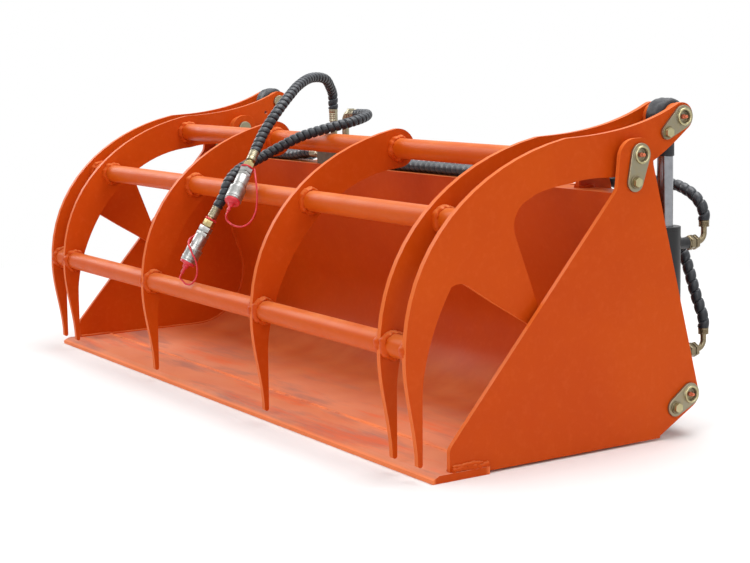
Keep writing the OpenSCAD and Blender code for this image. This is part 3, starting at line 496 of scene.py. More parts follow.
# Wear of the floor behind the edge: colour, noise and ramp of each kind, and how high and deep it goes
FLOOR_WEAR = [
    (FLOOR_DUST, (2.6, 6, 0.62, (0.6, 1.8, 1)), (0.32, 0.66, 0.4, 0.92)),
    (GREY_SCUFF, (3.0, 6, 0.62, (0.9, 4, 4)), (0.5, 0.66, 0, 0.85)),
    (FLOOR_BARE, (4.4, 6, 0.62, (0.6, 4.5, 4.5)), (0.53, 0.68, 0, 0.6)),
    (EDGE_HIGHLIGHT_AND_STREAK_ORANGE, (17, 6, 0.7, (0.5, 12, 12)), (0.58, 0.7, 0, 0.35))]
WEAR_HEIGHT = (0.02, 0.11)
WEAR_DEPTH = (0.12, 0.31)

# Pale band along the edge's rear seam, and a painted highlight on the edge's nose, which the lamps leave
# dark
SEAM_Y = 0.068
SEAM_BAND = (0.004, 0.014)
NOSE_Y = (-0.056, -0.062)


# dust sets the share of dust and of painted highlight on what faces up; edges sets the painted highlight
# on the plates' thin edges
def paint_material(name, base=PAINT_BASE, deep=PAINT_DEEP, dust=0.3, edges=0, scuffs=False, lumps=False):
    """Orange enamel: faint mottling, a painted highlight on the plates' thin edges, dust and a painted
    highlight on what faces up, and scuffs where stone slid, with a painted highlight on the edge's nose.
    """
    n = Nodes(name)
    colour = n.mix(n.ramp(n.noise(3.2, 5), 0.35, 0.7), base, deep)
    colour = n.mix(n.ramp(n.noise(75, 4), 0.5, 0.8, 0, 0.14), colour, PAINT_PALE)
    # Painted highlight: faces that do not point along x, the plates' thin edges, are lightened towards
    # pale orange
    colour = n.mix(n.ramp(n.math("ABSOLUTE", n.normal("X"), 0), 0.3, 0.8, edges, 0), colour, EDGE_HIGHLIGHT_AND_STREAK_ORANGE)
    # Dust and painted highlight: what faces up is lightened towards a pale dusty orange
    facing = n.ramp(n.normal("Z"), 0.45, 0.97)
    dusty_and_lit_top = n.math("MULTIPLY", facing, n.ramp(n.noise(11, 6), 0.35, 0.7, 0.35 * dust, dust))
    colour = n.mix(dusty_and_lit_top, colour, DUST_AND_TOP_HIGHLIGHT)
    rough = n.ramp(n.noise(22, 4), 0.3, 0.7, 0.36, 0.48)
    if scuffs:
        y = n.axis(n.coords, "Y")
        flat = n.ramp(n.axis(n.coords, "Z"), *WEAR_HEIGHT, 1, 0)
        low = n.math("MULTIPLY", flat, n.ramp(y, *WEAR_DEPTH, 1, 0.15))
        up = n.math("MULTIPLY", low, n.ramp(n.normal("Z"), 0.3, 0.9))
        for wear, grain, share in FLOOR_WEAR:
            colour = n.mix(n.math("MULTIPLY", up, n.ramp(n.noise(*grain), *share)), colour, wear)
        off = n.math("ABSOLUTE", n.math("SUBTRACT", y, SEAM_Y), 0)
        broken = n.ramp(n.noise(22, 5), 0.35, 0.6, 0.2, 1)
        band = n.math("MULTIPLY", n.ramp(off, *SEAM_BAND, 1, 0), broken)
        colour = n.mix(band, colour, SEAM_PAINT_AND_NOSE_HIGHLIGHT)
        # Painted highlight: the edge's nose, which the lamps leave dark, is lightened towards pale
        # orange
        colour = n.mix(n.ramp(y, *NOSE_Y, 0, 0.75), colour, SEAM_PAINT_AND_NOSE_HIGHLIGHT)
        rough = n.math("ADD", rough, n.math("MULTIPLY", up, 0.22))
    n.set(Base_Color=colour, Roughness=rough, Specular_IOR_Level=0.1)
    if lumps:
        n.bump(n.noise(240, 5), 0.45, 0.0015)
    else:
        n.bump(n.noise(300, 3), 0.1, 0.0005)
    return n.material


def metal_material(name, colour, other, roughness, spread=0.1, stains=0.5, bump=0.06, metallic=1.0):
    """Plated or bare metal with blotches of a second colour."""
    n = Nodes(name)
    blotch = n.ramp(n.noise(70, 5), 0.42, 0.68, 0, stains)
    n.set(Base_Color=n.mix(blotch, linear(colour), linear(other)), Metallic=metallic,
          Roughness=n.ramp(n.noise(120, 4), 0.3, 0.7, roughness, roughness + spread))
    n.bump(n.noise(420, 3), bump, 0.0003)
    return n.material


def black_material(name, colour, pale, roughness, grain=260, bump=0.2, depth=0.0006):
    n = Nodes(name)
    # Dust and painted sheen: what faces up is lightened towards a pale grey
    facing = n.ramp(n.normal("Z"), 0.1, 1)
    dusty_and_lit_top = n.math("MULTIPLY", facing, n.ramp(n.noise(40, 5), 0.35, 0.7, 0.15, 0.6))
    n.set(Base_Color=n.mix(dusty_and_lit_top, linear(colour), linear(pale)), Specular_IOR_Level=0.4,
          Roughness=n.ramp(n.noise(50, 4), 0.3, 0.7, roughness, roughness + 0.15))
    n.bump(n.noise(grain, 4), bump, depth)
    return n.material


def plastic_material(name, colour, deep, roughness):
    n = Nodes(name)
    n.set(Base_Color=n.mix(n.ramp(n.noise(120, 4), 0.35, 0.7), linear(colour), linear(deep)),
          Roughness=n.ramp(n.noise(200, 3), 0.3, 0.7, roughness, roughness + 0.12),
          Subsurface_Weight=0.08)
    n.shader.inputs["Subsurface Radius"].default_value = (0.004, 0.001, 0.001)
    n.bump(n.noise(400, 2), 0.1, 0.0003)
    return n.material


# The dust share also sets a painted highlight on what faces up, and edges a painted highlight on thin
# edges
PAINT = paint_material("orange_enamel", edges=0.5)
PAINT_BOX = paint_material("orange_enamel_on_beam", dust=0.5)
PAINT_ROUND = paint_material("orange_enamel_on_tube", base=PAINT_WARM, deep=PAINT_BASE, dust=0.75)
PAINT_FLOOR = paint_material("orange_enamel_scuffed", dust=0.75, scuffs=True)
PAINT_WELD = paint_material("orange_enamel_on_weld", dust=0.9, lumps=True)
OLIVE_ZINC = metal_material("olive_zinc", (146, 139, 118), (156, 138, 98), 0.34, metallic=0.9)
BOLT_ZINC = metal_material("bolt_zinc", (184, 176, 138), (158, 144, 96), 0.3)
BRASS_ZINC = metal_material("yellow_zinc", (184, 168, 120), (152, 132, 84), 0.3)
FERRULE_ZINC = metal_material("pale_zinc", (158, 150, 128), (126, 112, 84), 0.34)
PORT_ZINC = metal_material("dull_zinc", (136, 124, 100), (104, 90, 68), 0.36)
BRIGHT = metal_material("bright_zinc", (174, 174, 172), (126, 124, 118), 0.32, stains=0.4)
CHROME = metal_material("hard_chrome", (150, 151, 155), (128, 129, 133), 0.2, spread=0.05, bump=0.02)
BLOCK_STEEL = metal_material("block_steel", (104, 94, 78), (76, 68, 58), 0.42, metallic=0.7)
BLACK = black_material("black_enamel", (24, 24, 26), (64, 64, 66), 0.32)
CAST = black_material(
    "black_cast_eye", (34, 36, 40), (112, 114, 118), 0.5, grain=130, bump=0.8, depth=0.002)
GUARD = black_material("hose_guard", (34, 37, 42), (112, 116, 122), 0.34, grain=420, bump=0.15)
SEAL = black_material("seal_rubber", (22, 22, 22), (40, 40, 40), 0.5)
RED = plastic_material("red_soft_plastic", (214, 48, 62), (186, 32, 46), 0.35)
NIPPLE_RED = plastic_material("red_lead_paint", (214, 118, 80), (190, 84, 54), 0.45)

# Hoses with a spiral guard

SUPPLY_GUARD = (14.5 * MM, 0.9 * MM)
RAM_GUARD = (21 * MM, 1.7 * MM)
GUARD_GROOVE = 2.3 * MM
GROOVE_HALF = 1.15 * MM
GUARD_STEP = 0.7 * MM
GUARD_SIDES = 24
RING_STEP = 1.0 * MM


def guard_radius(pitch, sag):
    """Radius over a wound band: crowned, one edge proud of the next turn, a groove between turns."""
    def radius(along, turn):
        phase = (along / pitch - turn / math.tau) % 1.0
        edge = min(phase, 1 - phase) * pitch
        groove = GUARD_GROOVE * math.exp(-((edge / GROOVE_HALF) ** 2))
        return GUARD_D / 2 - sag * (2 * phase - 1) ** 2 - GUARD_STEP * (1 - phase) - groove
    return radius


def guarded_hose(name, route, node, guard):
    path = smooth_path(route)
    length = run_length(path)
    bm = bmesh.new()
    join(bm, tube(path, guard_radius(*guard), GUARD_SIDES, round(length / RING_STEP)))
    piece = finish_piece(name, bm, GUARD, None, (node,), smooth=60)
    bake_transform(piece)
    spaced(path, 60)


# Quick couplers: kind, size and length of what follows the hose, in millimetres
FERRULE_L = 27
COUPLER_FERRULE = [("ferrule", 22, FERRULE_L)]
COUPLER_NECK = [("ring", 15, 7), ("hex", 22, 15), ("ring", 15, 2)]
COUPLER_HEX = [("hex", 27, 12), ("ring", 25, 2.4), ("hex", 27, 7.6)]
COUPLER_HEX_AT = 51
COUPLER_START = 73
# Place, radius and thickness of the lanyard's ring
LANYARD_RING = {1: (49.5, 14.4, 1.9), 2: (31.5, 11.5, 2.2)}
LANYARD_SIDES = 12
LANYARD_RINGS = 110
SLEEVE_AT = 33
SLEEVE_END = 67
PLUG_PROFILE = [
    (0, -2), (16.6, -2), (17.3, -0.8), (17.5, 0.6), (17.5, 4.6), (16.4, 6), (9.5, 6.6), (7, 8.5),
    (6.3, 15.2), (5, 16.4), (3.4, 17.6), (3.2, 20.5), (4, 22.4), (4, 28.6), (2.8, 30), (0, 30)]


def coupler_profile():
    """Quick coupler: a plain body with a locking groove, then a ribbed sleeve."""
    profile = [(0, 0), (14.2, 0), (15, 1), (15, SLEEVE_AT - 9), (14.1, SLEEVE_AT - 8),
               (14.1, SLEEVE_AT - 6), (15, SLEEVE_AT - 5), (15, SLEEVE_AT), (18.2, SLEEVE_AT + 0.2),
               (19, SLEEVE_AT + 1)]
    for ring in range(7):
        at = SLEEVE_AT + 5 + ring * 2.6
        profile += [(19, at), (18.2, at + 0.7), (18.2, at + 1.3), (19, at + 2)]
    return profile + [(19, SLEEVE_END - 6), (17.6, SLEEVE_END - 5), (17.6, SLEEVE_END - 3.6),
                      (19, SLEEVE_END - 2.8), (19, SLEEVE_END - 1), (18, SLEEVE_END), (0, SLEEVE_END)]


def coupler_pieces(k, route):
    """Ferrule, adapter and quick coupler at the end of a supply hose, and its dust plug."""
    last, before = Vector(route[-1]) * MM, Vector(route[-2]) * MM
    way = (last - before).normalized()
    node = "coupler_%d" % k
    bm = bmesh.new()
    stack(bm, last, way, COUPLER_FERRULE)
    ferrule = finish_piece("coupler_ferrule_%d" % k, bm, FERRULE_ZINC, "grapple", (node,))
    bm = bmesh.new()
    stack(bm, last + way * FERRULE_L * MM, way, COUPLER_NECK)
    neck = finish_piece("coupler_adapter_%d" % k, bm, BRASS_ZINC, "grapple", (node,))
    bm = bmesh.new()
    stack(bm, last + way * COUPLER_HEX_AT * MM, way, COUPLER_HEX)
    join(bm, lathe(coupler_profile(), 48), place_along(last + way * COUPLER_START * MM, way))
    body = finish_piece("coupler_body_%d" % k, bm, BRIGHT, "grapple", (node,))
    bm = bmesh.new()
    join(bm, lathe(PLUG_PROFILE), place_along(last + way * (COUPLER_START + SLEEVE_END) * MM, way))
    finish_piece(
        "dust_plug_body_%d" % k, bm, RED, "grapple", ("dust_plug_%d" % k,), smooth=35)
    bm = bmesh.new()
    step, r, thick = LANYARD_RING[k]
    join(bm, lathe(round_profile(r, thick), 36), place_along(last + way * step * MM, way))
    finish_piece("lanyard_rings_%d" % k, bm, RED, "grapple")
    return [ferrule, neck, body]


def lanyard_piece(k, route):
    path = smooth_path(route)
    bm = bmesh.new()
    join(bm, tube(path, lambda along, turn: LANYARD_D / 2, LANYARD_SIDES, LANYARD_RINGS))
    piece = finish_piece(
        "lanyard_cord_%d" % k, bm, RED, "grapple", ("lanyard_%d" % k,), smooth=70)
    spaced(path, 50)


for k, route in SUPPLY_ROUTES.items():
    pieces = coupler_pieces(k, route)
    guarded_hose("supply_hose_guard_%d" % k, route, "supply_hose_%d" % k,
                 SUPPLY_GUARD)
    lanyard_piece(k, LANYARD_ROUTES[k])

RAM_HOSES = (("gland", GLAND_HOSE_RUN, GLAND_HOSE_END), ("base", BASE_HOSE_RUN, BASE_HOSE_END))

for side, sign in SIDES.items():
    for kind, run, ends in RAM_HOSES:
        route = (run if sign > 0 else mirrored(run)) + ends[side]
        guarded_hose("%s_hose_guard_%s" % (kind, side), route, "%s_hose_%s" % (kind, side),
                     RAM_GUARD)

# Fittings of the block and of the barrels, in millimetres

BLOCK_SIDE = [("hex", 24, 12), ("ring", 19, 2), ("hex", 24, 6), ("ferrule", 22, 34.8)]
TOP_FITTING = [("hex", 27, 16), ("ring", 17, 39), ("ferrule", 22, 30.8)]
ELBOW_FOOT = [("hex", 27, 16), ("ring", 17, 38)]
ELBOW_END = [("hex", 24, 10), ("ferrule", 22, 20.8)]
BLOCK_LINES = (396, 422)
BLOCK_PORT_Z = 524
BLOCK_ENDS = {-1: -255, 1: -145}
TOP_AT = (-214, 405, 550)
ELBOW_AT = (-165, 410, 550)
ELBOW_FOOT_L = 54
ELBOW_R = 22
ELBOW_D = 17
BEND_SIDES = 24
BEND_STEPS = 14


def quarter_bend(start, from_way, to_way, bend_r, d):
    """Bent tube from one direction into another, in metres."""
    a, b = Vector(from_way), Vector(to_way)
    centre = Vector(start) + b * bend_r
    path = [centre - b * bend_r * math.cos(t) + a * bend_r * math.sin(t)
            for t in [math.pi / 2 * i / BEND_STEPS for i in range(BEND_STEPS + 1)]]
    return tube(path, lambda along, turn: d / 2, BEND_SIDES, BEND_STEPS)


def block_pieces():
    bm = bmesh.new()
    for y in BLOCK_LINES:
        for sign, x in BLOCK_ENDS.items():
            stack(bm, Vector((x, y, BLOCK_PORT_Z)) * MM, (sign, 0, 0), BLOCK_SIDE)
    stack(bm, Vector(TOP_AT) * MM, (0, 0, 1), TOP_FITTING)
    foot = Vector(ELBOW_AT) * MM
    stack(bm, foot, (0, 0, 1), ELBOW_FOOT)
    bend = foot + Vector((0, 0, ELBOW_FOOT_L)) * MM
    join(bm, quarter_bend(bend, (0, 0, 1), (1, 0, 0), ELBOW_R * MM, ELBOW_D * MM))
    stack(bm, bend + Vector((ELBOW_R, 0, ELBOW_R)) * MM, (1, 0, 0), ELBOW_END)
    finish_piece("block_fittings_turned", bm, FERRULE_ZINC, "bucket", ("block_fittings",))


PORT_HEIGHTS = (155, 378)
PORT_X = 828
PORT_Y = 618.5
PORT_NUT = [("ring", 26, 3), ("hex", 27, 12), ("ring", 22, 2), ("hex", 27, 8), ("ring", 12, 4)]
PORT_NUT_L = 29
PORT_BEND_R = 18
PORT_TUBE_D = 12
PORT_END = [("ring", 12, 12), ("ferrule", 22, 13.8)]


def port_pieces(side, sign):
    bm = bmesh.new()
    for z in PORT_HEIGHTS:
        foot = Vector((sign * PORT_X, PORT_Y, z)) * MM
        stack(bm, foot, (0, 1, 0), PORT_NUT)
        bend = foot + Vector((0, PORT_NUT_L, 0)) * MM
        join(bm, quarter_bend(bend, (0, 1, 0), (0, 0, 1), PORT_BEND_R * MM, PORT_TUBE_D * MM))
        stack(bm, bend + Vector((0, PORT_BEND_R, PORT_BEND_R)) * MM, (0, 0, 1), PORT_END)
    finish_piece("port_fittings_turned_" + side, bm, PORT_ZINC, "barrel_" + side,
                 ("port_fittings_" + side,))


NIPPLE_PROFILE = [(0, 0), (4.6, 0), (4.6, 5.4), (3.8, 6.2), (2.6, 7), (2.4, 9.2), (3.4, 10.4), (3.5, 12),
                  (2.8, 13.5), (0, 14)]
PIN_RECESS = 8
PIN_AT = {"pivot_pin": pivot_at, "barrel_pin": barrel_pin_at, "rod_pin": rod_pin_at}
NIPPLES = {"grease_nipples": ("bucket", ("pivot_pin", "barrel_pin")),
           "arm_grease_nipples": ("grapple", ("rod_pin",))}


def nipple_pieces():
    """Grease nipples in the pins' recesses."""
    for node, (body, pins) in NIPPLES.items():
        bm = bmesh.new()
        for pin in pins:
            for side, sign in SIDES.items():
                low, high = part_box("%s_%s" % (pin, side))
                end = (high.x if sign > 0 else low.x) - sign * PIN_RECESS * MM
                at = Vector((end, PIN_AT[pin].y, PIN_AT[pin].z))
                join(bm, lathe(NIPPLE_PROFILE, 24), place_along(at, (sign, 0, 0)))
        finish_piece(node + "_turned", bm, NIPPLE_RED, body, (node,))


KEEPER_T = 6
PIN_OVER = 3
# Each keeper's pin, its bolt's place from there, the face it lies on and its body
KEEPERS = [(pivot_at, (-14, -52), side_x, "bucket"), (barrel_pin_at, (-38, -22), side_x, "bucket"),
           (rod_pin_at, (-42, -29), outer_x, "grapple")]
WASHER_PROFILE = [(0, -0.5), (12.4, -0.5), (13, 0), (13, 1.6), (12.2, 2.3), (0, 2.3)]
RIM_R = 15.4
RIM_T = 2.2
RIM_SINK = 0.6


def keeper_trim(body):
    """Rounded rims on the pins' ends and washers under the keeper bolts of one body; the washers' darker
    zinc is partly their own colour and partly painted shade, the dark ring round each bolt.
    """
    rims, washers = bmesh.new(), bmesh.new()
    rim = round_profile(RIM_R, RIM_T, -RIM_SINK)
    for at, (bolt_y, bolt_z), x, owner in KEEPERS:
        if owner != body:
            continue
        for sign in SIDES.values():
            end = Vector((sign * (x + (KEEPER_T + PIN_OVER) * MM), at.y, at.z))
            join(rims, lathe(rim), place_along(end, (sign, 0, 0)))
            seat = Vector((sign * (x + KEEPER_T * MM), at.y + bolt_y * MM, at.z + bolt_z * MM))
            join(washers, lathe(WASHER_PROFILE), place_along(seat, (sign, 0, 0)))
    finish_piece("pin_rims_" + body, rims, BOLT_ZINC, body)
    # Darker zinc on the washers: partly the washers' own colour, partly painted shade, the dark ring
    # round each bolt head
    finish_piece("keeper_washers_and_painted_shade_" + body, washers, PORT_ZINC, body)


block_pieces()
nipple_pieces()
keeper_trim("bucket")
keeper_trim("grapple")
for side, sign in SIDES.items():
    port_pieces(side, sign)

# Rod eyes: rounded castings with a bore, in millimetres

EYE_BORE_R = 17.6
EYE_BORE_RIM = 19
EYE_FACE = 7
EYE_EDGE = 2.5
EYE_CROWN = 8
SOCKET_R = 16.05
SOCKET_L = 19
# Depth in metres and fineness of the lumps in the casting's skin, and how far out they start
CAST_LUMPS = ((0.0016, 60), (0.0008, 170))
CAST_FROM = 0.025


def rod_eye_piece(side):
    low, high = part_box("rod_eye_" + side)
    half = (high.x - low.x) / 2 / MM
    r = eye_r / MM
    crown = [(r, (half - EYE_CROWN) * (k / 4 - 1)) for k in range(9)]
    eye = [(EYE_BORE_R, -half + 1), (EYE_BORE_RIM, -half), (r - EYE_FACE, -half),
           (r - EYE_EDGE, -half + EYE_EDGE)] + crown
    eye += [(r - EYE_EDGE, half - EYE_EDGE), (r - EYE_FACE, half), (EYE_BORE_RIM, half),
            (EYE_BORE_R, half - 1), (EYE_BORE_R, 0), (EYE_BORE_R, -half + 1)]
    neck_low = (low.z - rod_pin_at.z) / MM
    neck = [(0, neck_low + SOCKET_L), (SOCKET_R, neck_low + SOCKET_L), (SOCKET_R, neck_low + 0.4),
            (17, neck_low), (18, neck_low + 1), (18, -r + 12), (21, -r + 6), (21, -22), (0, -22)]
    centre = Vector(((low.x + high.x) / 2, rod_pin_at.y, rod_pin_at.z))
    bm = bmesh.new()
    join(bm, lathe(eye, 64), place_along(centre, (1, 0, 0)))
    join(bm, lathe(neck, 48), place_along(centre, (0, 0, 1)))
    for v in bm.verts:
        out = v.co - centre
        if Vector((out.y, out.z)).length > CAST_FROM:
            lump = sum(size * noise.noise(v.co * scale) for size, scale in CAST_LUMPS)
            v.co += out.normalized() * lump
    finish_piece("rod_eye_casting_" + side, bm, CAST, "rod_" + side,
                 ("rod_eye_" + side,), smooth=50)


for side in SIDES:
    rod_eye_piece(side)

# Welds: beads along seams and collars round the tubes

BEAD_SIDES = 10
BEAD_STEP = 2.6 * MM


def bead(bm, route, radius, seed, rough=0.3):
    """Hand-laid bead along a route in metres: ripples and slow lumps."""
    path = [Vector(p) for p in route]

    def lump(along, turn):
        slow = noise.noise(Vector((along * 60, seed * 7.3, 0.4 * math.cos(turn))))
        quick = noise.noise(Vector((along * 210, seed * 3.7, 0.8 * math.sin(turn))))
        return radius * (1 + rough * (0.7 * slow + 0.6 * quick))

    join(bm, tube(path, lump, BEAD_SIDES, max(4, round(run_length(path) / BEAD_STEP))))


COLLAR_STRETCH = 1.6
COLLAR_STEPS = 72


def collar(bm, x, at, ring_r, radius, seed):
    """Lumpy ring of weld round a tube, where it meets a plate at x."""
    path = []
    for i in range(COLLAR_STEPS + 1):
        a = math.tau * (i % COLLAR_STEPS) / COLLAR_STEPS
        wave = noise.noise(Vector((1.6 * math.cos(a), 1.6 * math.sin(a), seed * 3.3)))
        r = ring_r + radius * 0.35 * wave
        path.append(Vector((x, at.y + r * math.cos(a), at.z + r * math.sin(a))))
    total = run_length(path)

    def lump(along, turn):
        a = math.tau * along / total
        near = Vector((2.6 * math.cos(a), 2.6 * math.sin(a) + seed * 5.1, 0.6 * math.cos(turn)))
        return radius * (1 + 0.4 * noise.noise(near) + 0.25 * noise.noise(near * 3.1))

    part = tube(path, lump, BEAD_SIDES, COLLAR_STEPS, closed=True)
    for v in part.verts:
        v.co.x = x + (v.co.x - x) * COLLAR_STRETCH
    join(bm, part)


TUBE_RING = 0.2 * MM
TUBE_BEAD = 6.4 * MM
FACE_GAP = 2.6 * MM


def tube_welds(name):
    """Collars on both faces of every tine that a tube meets."""
    faces = []
    for sign in (-1, 1):
        faces += [sign * (middle_x - tine_t / 2 - FACE_GAP), sign * (middle_x + tine_t / 2 + FACE_GAP),
                  sign * (pair_in_x - FACE_GAP)]
        if tube_half[name] > pair_x:
            faces += [sign * (pair_x + FACE_GAP), sign * (outer_in_x - FACE_GAP)]
    bm = bmesh.new()
    for i, x in enumerate(faces):
        collar(bm, x, tube_at[name], tube_r + TUBE_RING, TUBE_BEAD, i + 1)
    finish_piece("%s_tube_welds" % name, bm, PAINT_WELD, "grapple", smooth=60)


SLEEVE_R = 30 * MM


def sleeve_welds():
    bm = bmesh.new()
    for sign in (-1, 1):
        for k, x in enumerate((pair_x + FACE_GAP, outer_in_x - FACE_GAP)):
            collar(bm, sign * x, pivot_at, SLEEVE_R + MM, 4 * MM, 20 + k)
    finish_piece("sleeve_welds", bm, PAINT_WELD, "grapple", smooth=60)


# The sheet's side line in metres, as (y, z): its bend, and where the lip and the back end
BEND_Y, BEND_Z = 0.336, 0.163
BEND_IN, BEND_OUT = 0.150, 0.158
LIP_FRONT = (0.374, 0.5)
BACK_TOP = (0.386, 0.490)
BACK_LEAN = 20


def bend_points(r, low, high, steps=14):
    """Points of the sheet's bend between two angles from the horizontal."""
    return [(BEND_Y + r * math.cos(math.radians(a)), BEND_Z + r * math.sin(math.radians(a)))
            for a in [low + (high - low) * i / steps for i in range(steps + 1)]]


FLOOR_SEAM = [(-0.020, 0.016), (0.062, 0.016), (0.070, 0.0135)]
INSIDE_SEAM = FLOOR_SEAM + bend_points(BEND_IN, -90, BACK_LEAN) + [LIP_FRONT]
OUTSIDE_SEAM = bend_points(BEND_OUT, -40, BACK_LEAN) + [BACK_TOP]
FOOT_SEAM = [(-0.019, 0.0185), (0.062, 0.0185)]
FOOT_TOP_SEAM = [(-0.017, 0.0235), (0.050, 0.0245)]
LIP_SEAM = [(0.3975, 0.501), (0.434, 0.501)]
EDGE_SEAM = [(-0.886, 0.0652, 0.0128), (0.886, 0.0652, 0.0128)]
# How far the beads' middles lie off the plates' faces, and the beads' radii
SEAM_OFF, FOOT_OFF, FOOT_TOP_OFF = 0.0008, 0.0012, 0.0006
BEAD_R = {"inside": 0.0040, "outside": 0.0042, "foot": 0.0055, "foot_top": 0.0040, "lip": 0.0045,
          "bracket": 0.0045, "beam": 0.0048, "edge": 0.0038}


def on_plane(x, seam):
    return [(x, y, z) for y, z in seam]


def bucket_welds():
    """Beads along the sheet's seams with the plates, and the edge's rear seam."""
    for side, sign in SIDES.items():
        bm = bmesh.new()
        bead(bm, on_plane(sign * (side_in_x - SEAM_OFF), INSIDE_SEAM), BEAD_R["inside"], 1 + sign)
        bead(bm, on_plane(sign * (side_in_x - SEAM_OFF), OUTSIDE_SEAM), BEAD_R["outside"], 3 + sign)
        foot = on_plane(sign * (side_x + FOOT_OFF), FOOT_SEAM)
        bead(bm, foot, BEAD_R["foot"], 5 + sign, rough=0.75)
        foot_top = on_plane(sign * (side_x + FOOT_TOP_OFF), FOOT_TOP_SEAM)
        bead(bm, foot_top, BEAD_R["foot_top"], 11 + sign, rough=0.9)
        for k, x in enumerate((plate_in_x - SEAM_OFF, plate_x + SEAM_OFF)):
            bead(bm, on_plane(sign * x, OUTSIDE_SEAM), BEAD_R["outside"], 7 + k)
            bead(bm, on_plane(sign * x, LIP_SEAM), BEAD_R["lip"], 9 + k, rough=0.6)
        for k, x in enumerate((hitch_low_x - SEAM_OFF, hitch_high_x + SEAM_OFF)):
            bead(bm, on_plane(sign * x, OUTSIDE_SEAM), BEAD_R["bracket"], 17 + k)
        finish_piece("plate_welds_" + side, bm, PAINT_WELD, "bucket", smooth=60)
    bm = bmesh.new()
    for k, (y, z) in enumerate(BEAM_CORNERS):
        bead(bm, [(-plate_in_x, y, z), (plate_in_x, y, z)], BEAD_R["beam"], 19 + k)
    finish_piece("beam_weld", bm, PAINT_WELD, "bucket", smooth=60)
    bm = bmesh.new()
    bead(bm, EDGE_SEAM, BEAD_R["edge"], 15, rough=0.6)
    finish_piece("edge_weld", bm, PAINT_FLOOR, "bucket", smooth=60)


for name in tube_at:
    tube_welds(name)
sleeve_welds()
bucket_welds()

# Steel plates, tubes and cylinders, bevelled

# Width of the bevel in millimetres
PAINTED = {
    "side_plate": 1.1, "inner_plate": 1.0, "outer_tine": 1.2,
    "inner_tine": 1.2, "middle_tine": 1.2, "pivot_sleeve": 0.6}
for stem, width in PAINTED.items():
    for side in SIDES:
        dress("%s_%s" % (stem, side), PAINT, width * MM)
for side in SIDES:
    dress("hitch_bracket_" + side, PAINT, 1.2 * MM, mend=thicken_film)
for name in tube_at:
    dress(name + "_cross_tube", PAINT_ROUND, 0.8 * MM)
dress("rear_beam", PAINT_BOX, 0.8 * MM)
dress("bucket_sheet", PAINT_FLOOR, 0.8 * MM)
dress("cutting_edge", PAINT_FLOOR, 0.9 * MM)
dress("hose_block", BLOCK_STEEL, 1.5 * MM)
dress("keeper_bolts", BOLT_ZINC, 0.9 * MM, mend=split_faces)
dress("arm_keeper_bolts", BOLT_ZINC, 0.9 * MM, mend=split_faces)
for side in SIDES:
    for stem in ("pivot_pin", "barrel_pin", "rod_pin"):
        dress("%s_%s" % (stem, side), OLIVE_ZINC, 2.0 * MM)
    for stem in ("barrel", "gland"):
        dress("%s_%s" % (stem, side), BLACK, 0.8 * MM)
    dress("rod_" + side, CHROME, 0.8 * MM)
    dress("piston_" + side, BRIGHT, 0.5 * MM)
    dress("rod_seal_" + side, SEAL, 0.3 * MM)

# Light and surroundings

WHITE = (1, 1, 1, 1)
WHITE_FROM = 1.5
WHITE_BY = 2.6
WORLD_LEVEL = 0.37
# Name, place, target, size and power of each lamp
LAMPS = [
    ("overhead", (0.3, 1.3, 4.2), (0, 0.2, 0.3), 3.4, 165),
    ("right", (4.6, -0.2, 2.4), (0.5, 0.2, 0.3), 2.6, 44),
    ("left", (-4.2, -0.8, 2.6), (-0.3, 0.2, 0.3), 2.6, 80),
    ("front", (2.2, -4.0, 2.4), (0, 0, 0.2), 2.4, 72)]


def area_light(name, at, target, size, power):
    data = bpy.data.lights.new(name, "AREA")
    data.shape = "DISK"
    data.size = size
    data.energy = power
    lamp = bpy.data.objects.new(name, data)
    bpy.context.scene.collection.objects.link(lamp)
    turn = Vector((0, 0, 1)).rotation_difference(Vector(at) - Vector(target)).to_matrix().to_4x4()
    lamp.matrix_world = Matrix.Translation(at) @ turn


def seen_rays(tree):
    """1 for rays that see the background: from the camera, by gloss or through glass."""
    path = tree.nodes.new("ShaderNodeLightPath")
    total = path.outputs["Is Camera Ray"]
    for name in ("Is Glossy Ray", "Is Transmission Ray"):
        either = tree.nodes.new("ShaderNodeMath")
        either.operation = "MAXIMUM"
        tree.links.new(total, either.inputs[0])
        tree.links.new(path.outputs[name], either.inputs[1])
        total = either.outputs["Value"]
    return total


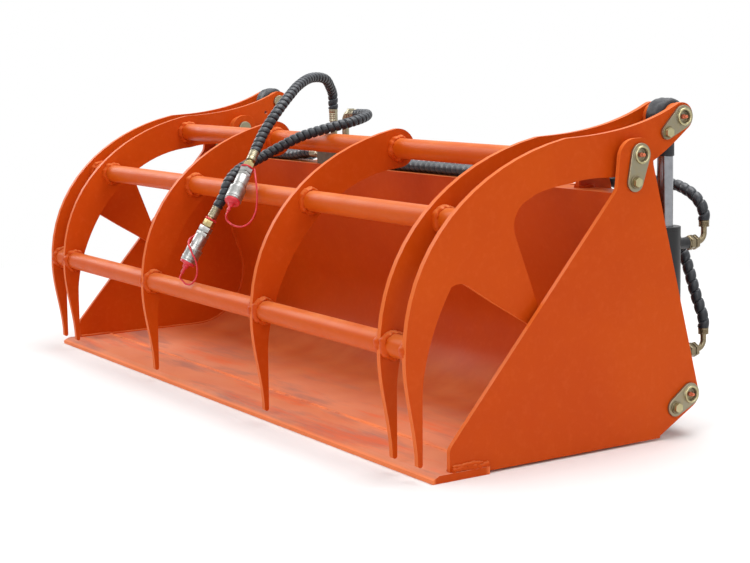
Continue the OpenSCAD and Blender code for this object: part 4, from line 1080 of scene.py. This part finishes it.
def studio_world():
    world = bpy.data.worlds.new("studio")
    bpy.context.scene.world = world
    world.use_nodes = True
    tree = world.node_tree
    plain = tree.nodes["Background"]
    plain.inputs["Color"].default_value = (1.0, 0.99, 0.97, 1)
    plain.inputs["Strength"].default_value = WORLD_LEVEL
    white = tree.nodes.new("ShaderNodeBackground")
    white.inputs["Color"].default_value = WHITE
    white.inputs["Strength"].default_value = 1.0
    mix = tree.nodes.new("ShaderNodeMixShader")
    tree.links.new(seen_rays(tree), mix.inputs["Fac"])
    tree.links.new(plain.outputs["Background"], mix.inputs[1])
    tree.links.new(white.outputs["Background"], mix.inputs[2])
    tree.links.new(mix.outputs["Shader"], tree.nodes["World Output"].inputs["Surface"])


def studio_floor():
    """Pale floor that runs out into white."""
    bm = bmesh.new()
    bmesh.ops.create_grid(bm, x_segments=1, y_segments=1, size=15)
    mesh = bpy.data.meshes.new("floor")
    bm.to_mesh(mesh)
    bm.free()
    floor = bpy.data.objects.new("floor", mesh)
    bpy.context.scene.collection.objects.link(floor)
    n = Nodes("pale_floor")
    n.set(Base_Color=n.mix(n.noise(1.5), (0.90, 0.90, 0.90, 1), (0.93, 0.93, 0.93, 1)), Roughness=0.9,
          Specular_IOR_Level=0.1)
    white = n.add("ShaderNodeEmission")
    white.inputs["Color"].default_value = WHITE
    white.inputs["Strength"].default_value = 1.0
    away = n.add("ShaderNodeVectorMath", operation="LENGTH")
    n.link(n.coords, away.inputs[0])
    share = n.math("MULTIPLY", n.ramp(away.outputs["Value"], WHITE_FROM, WHITE_BY), seen_rays(n.tree))
    mix = n.add("ShaderNodeMixShader")
    n.link(share, mix.inputs["Fac"])
    n.link(n.shader.outputs["BSDF"], mix.inputs[1])
    n.link(white.outputs["Emission"], mix.inputs[2])
    n.link(mix.outputs["Shader"], n.tree.nodes["Material Output"].inputs["Surface"])
    mesh.materials.append(n.material)


bpy.context.scene.view_settings.view_transform = "Standard"
studio_world()
studio_floor()
for lamp in LAMPS:
    area_light(*lamp)
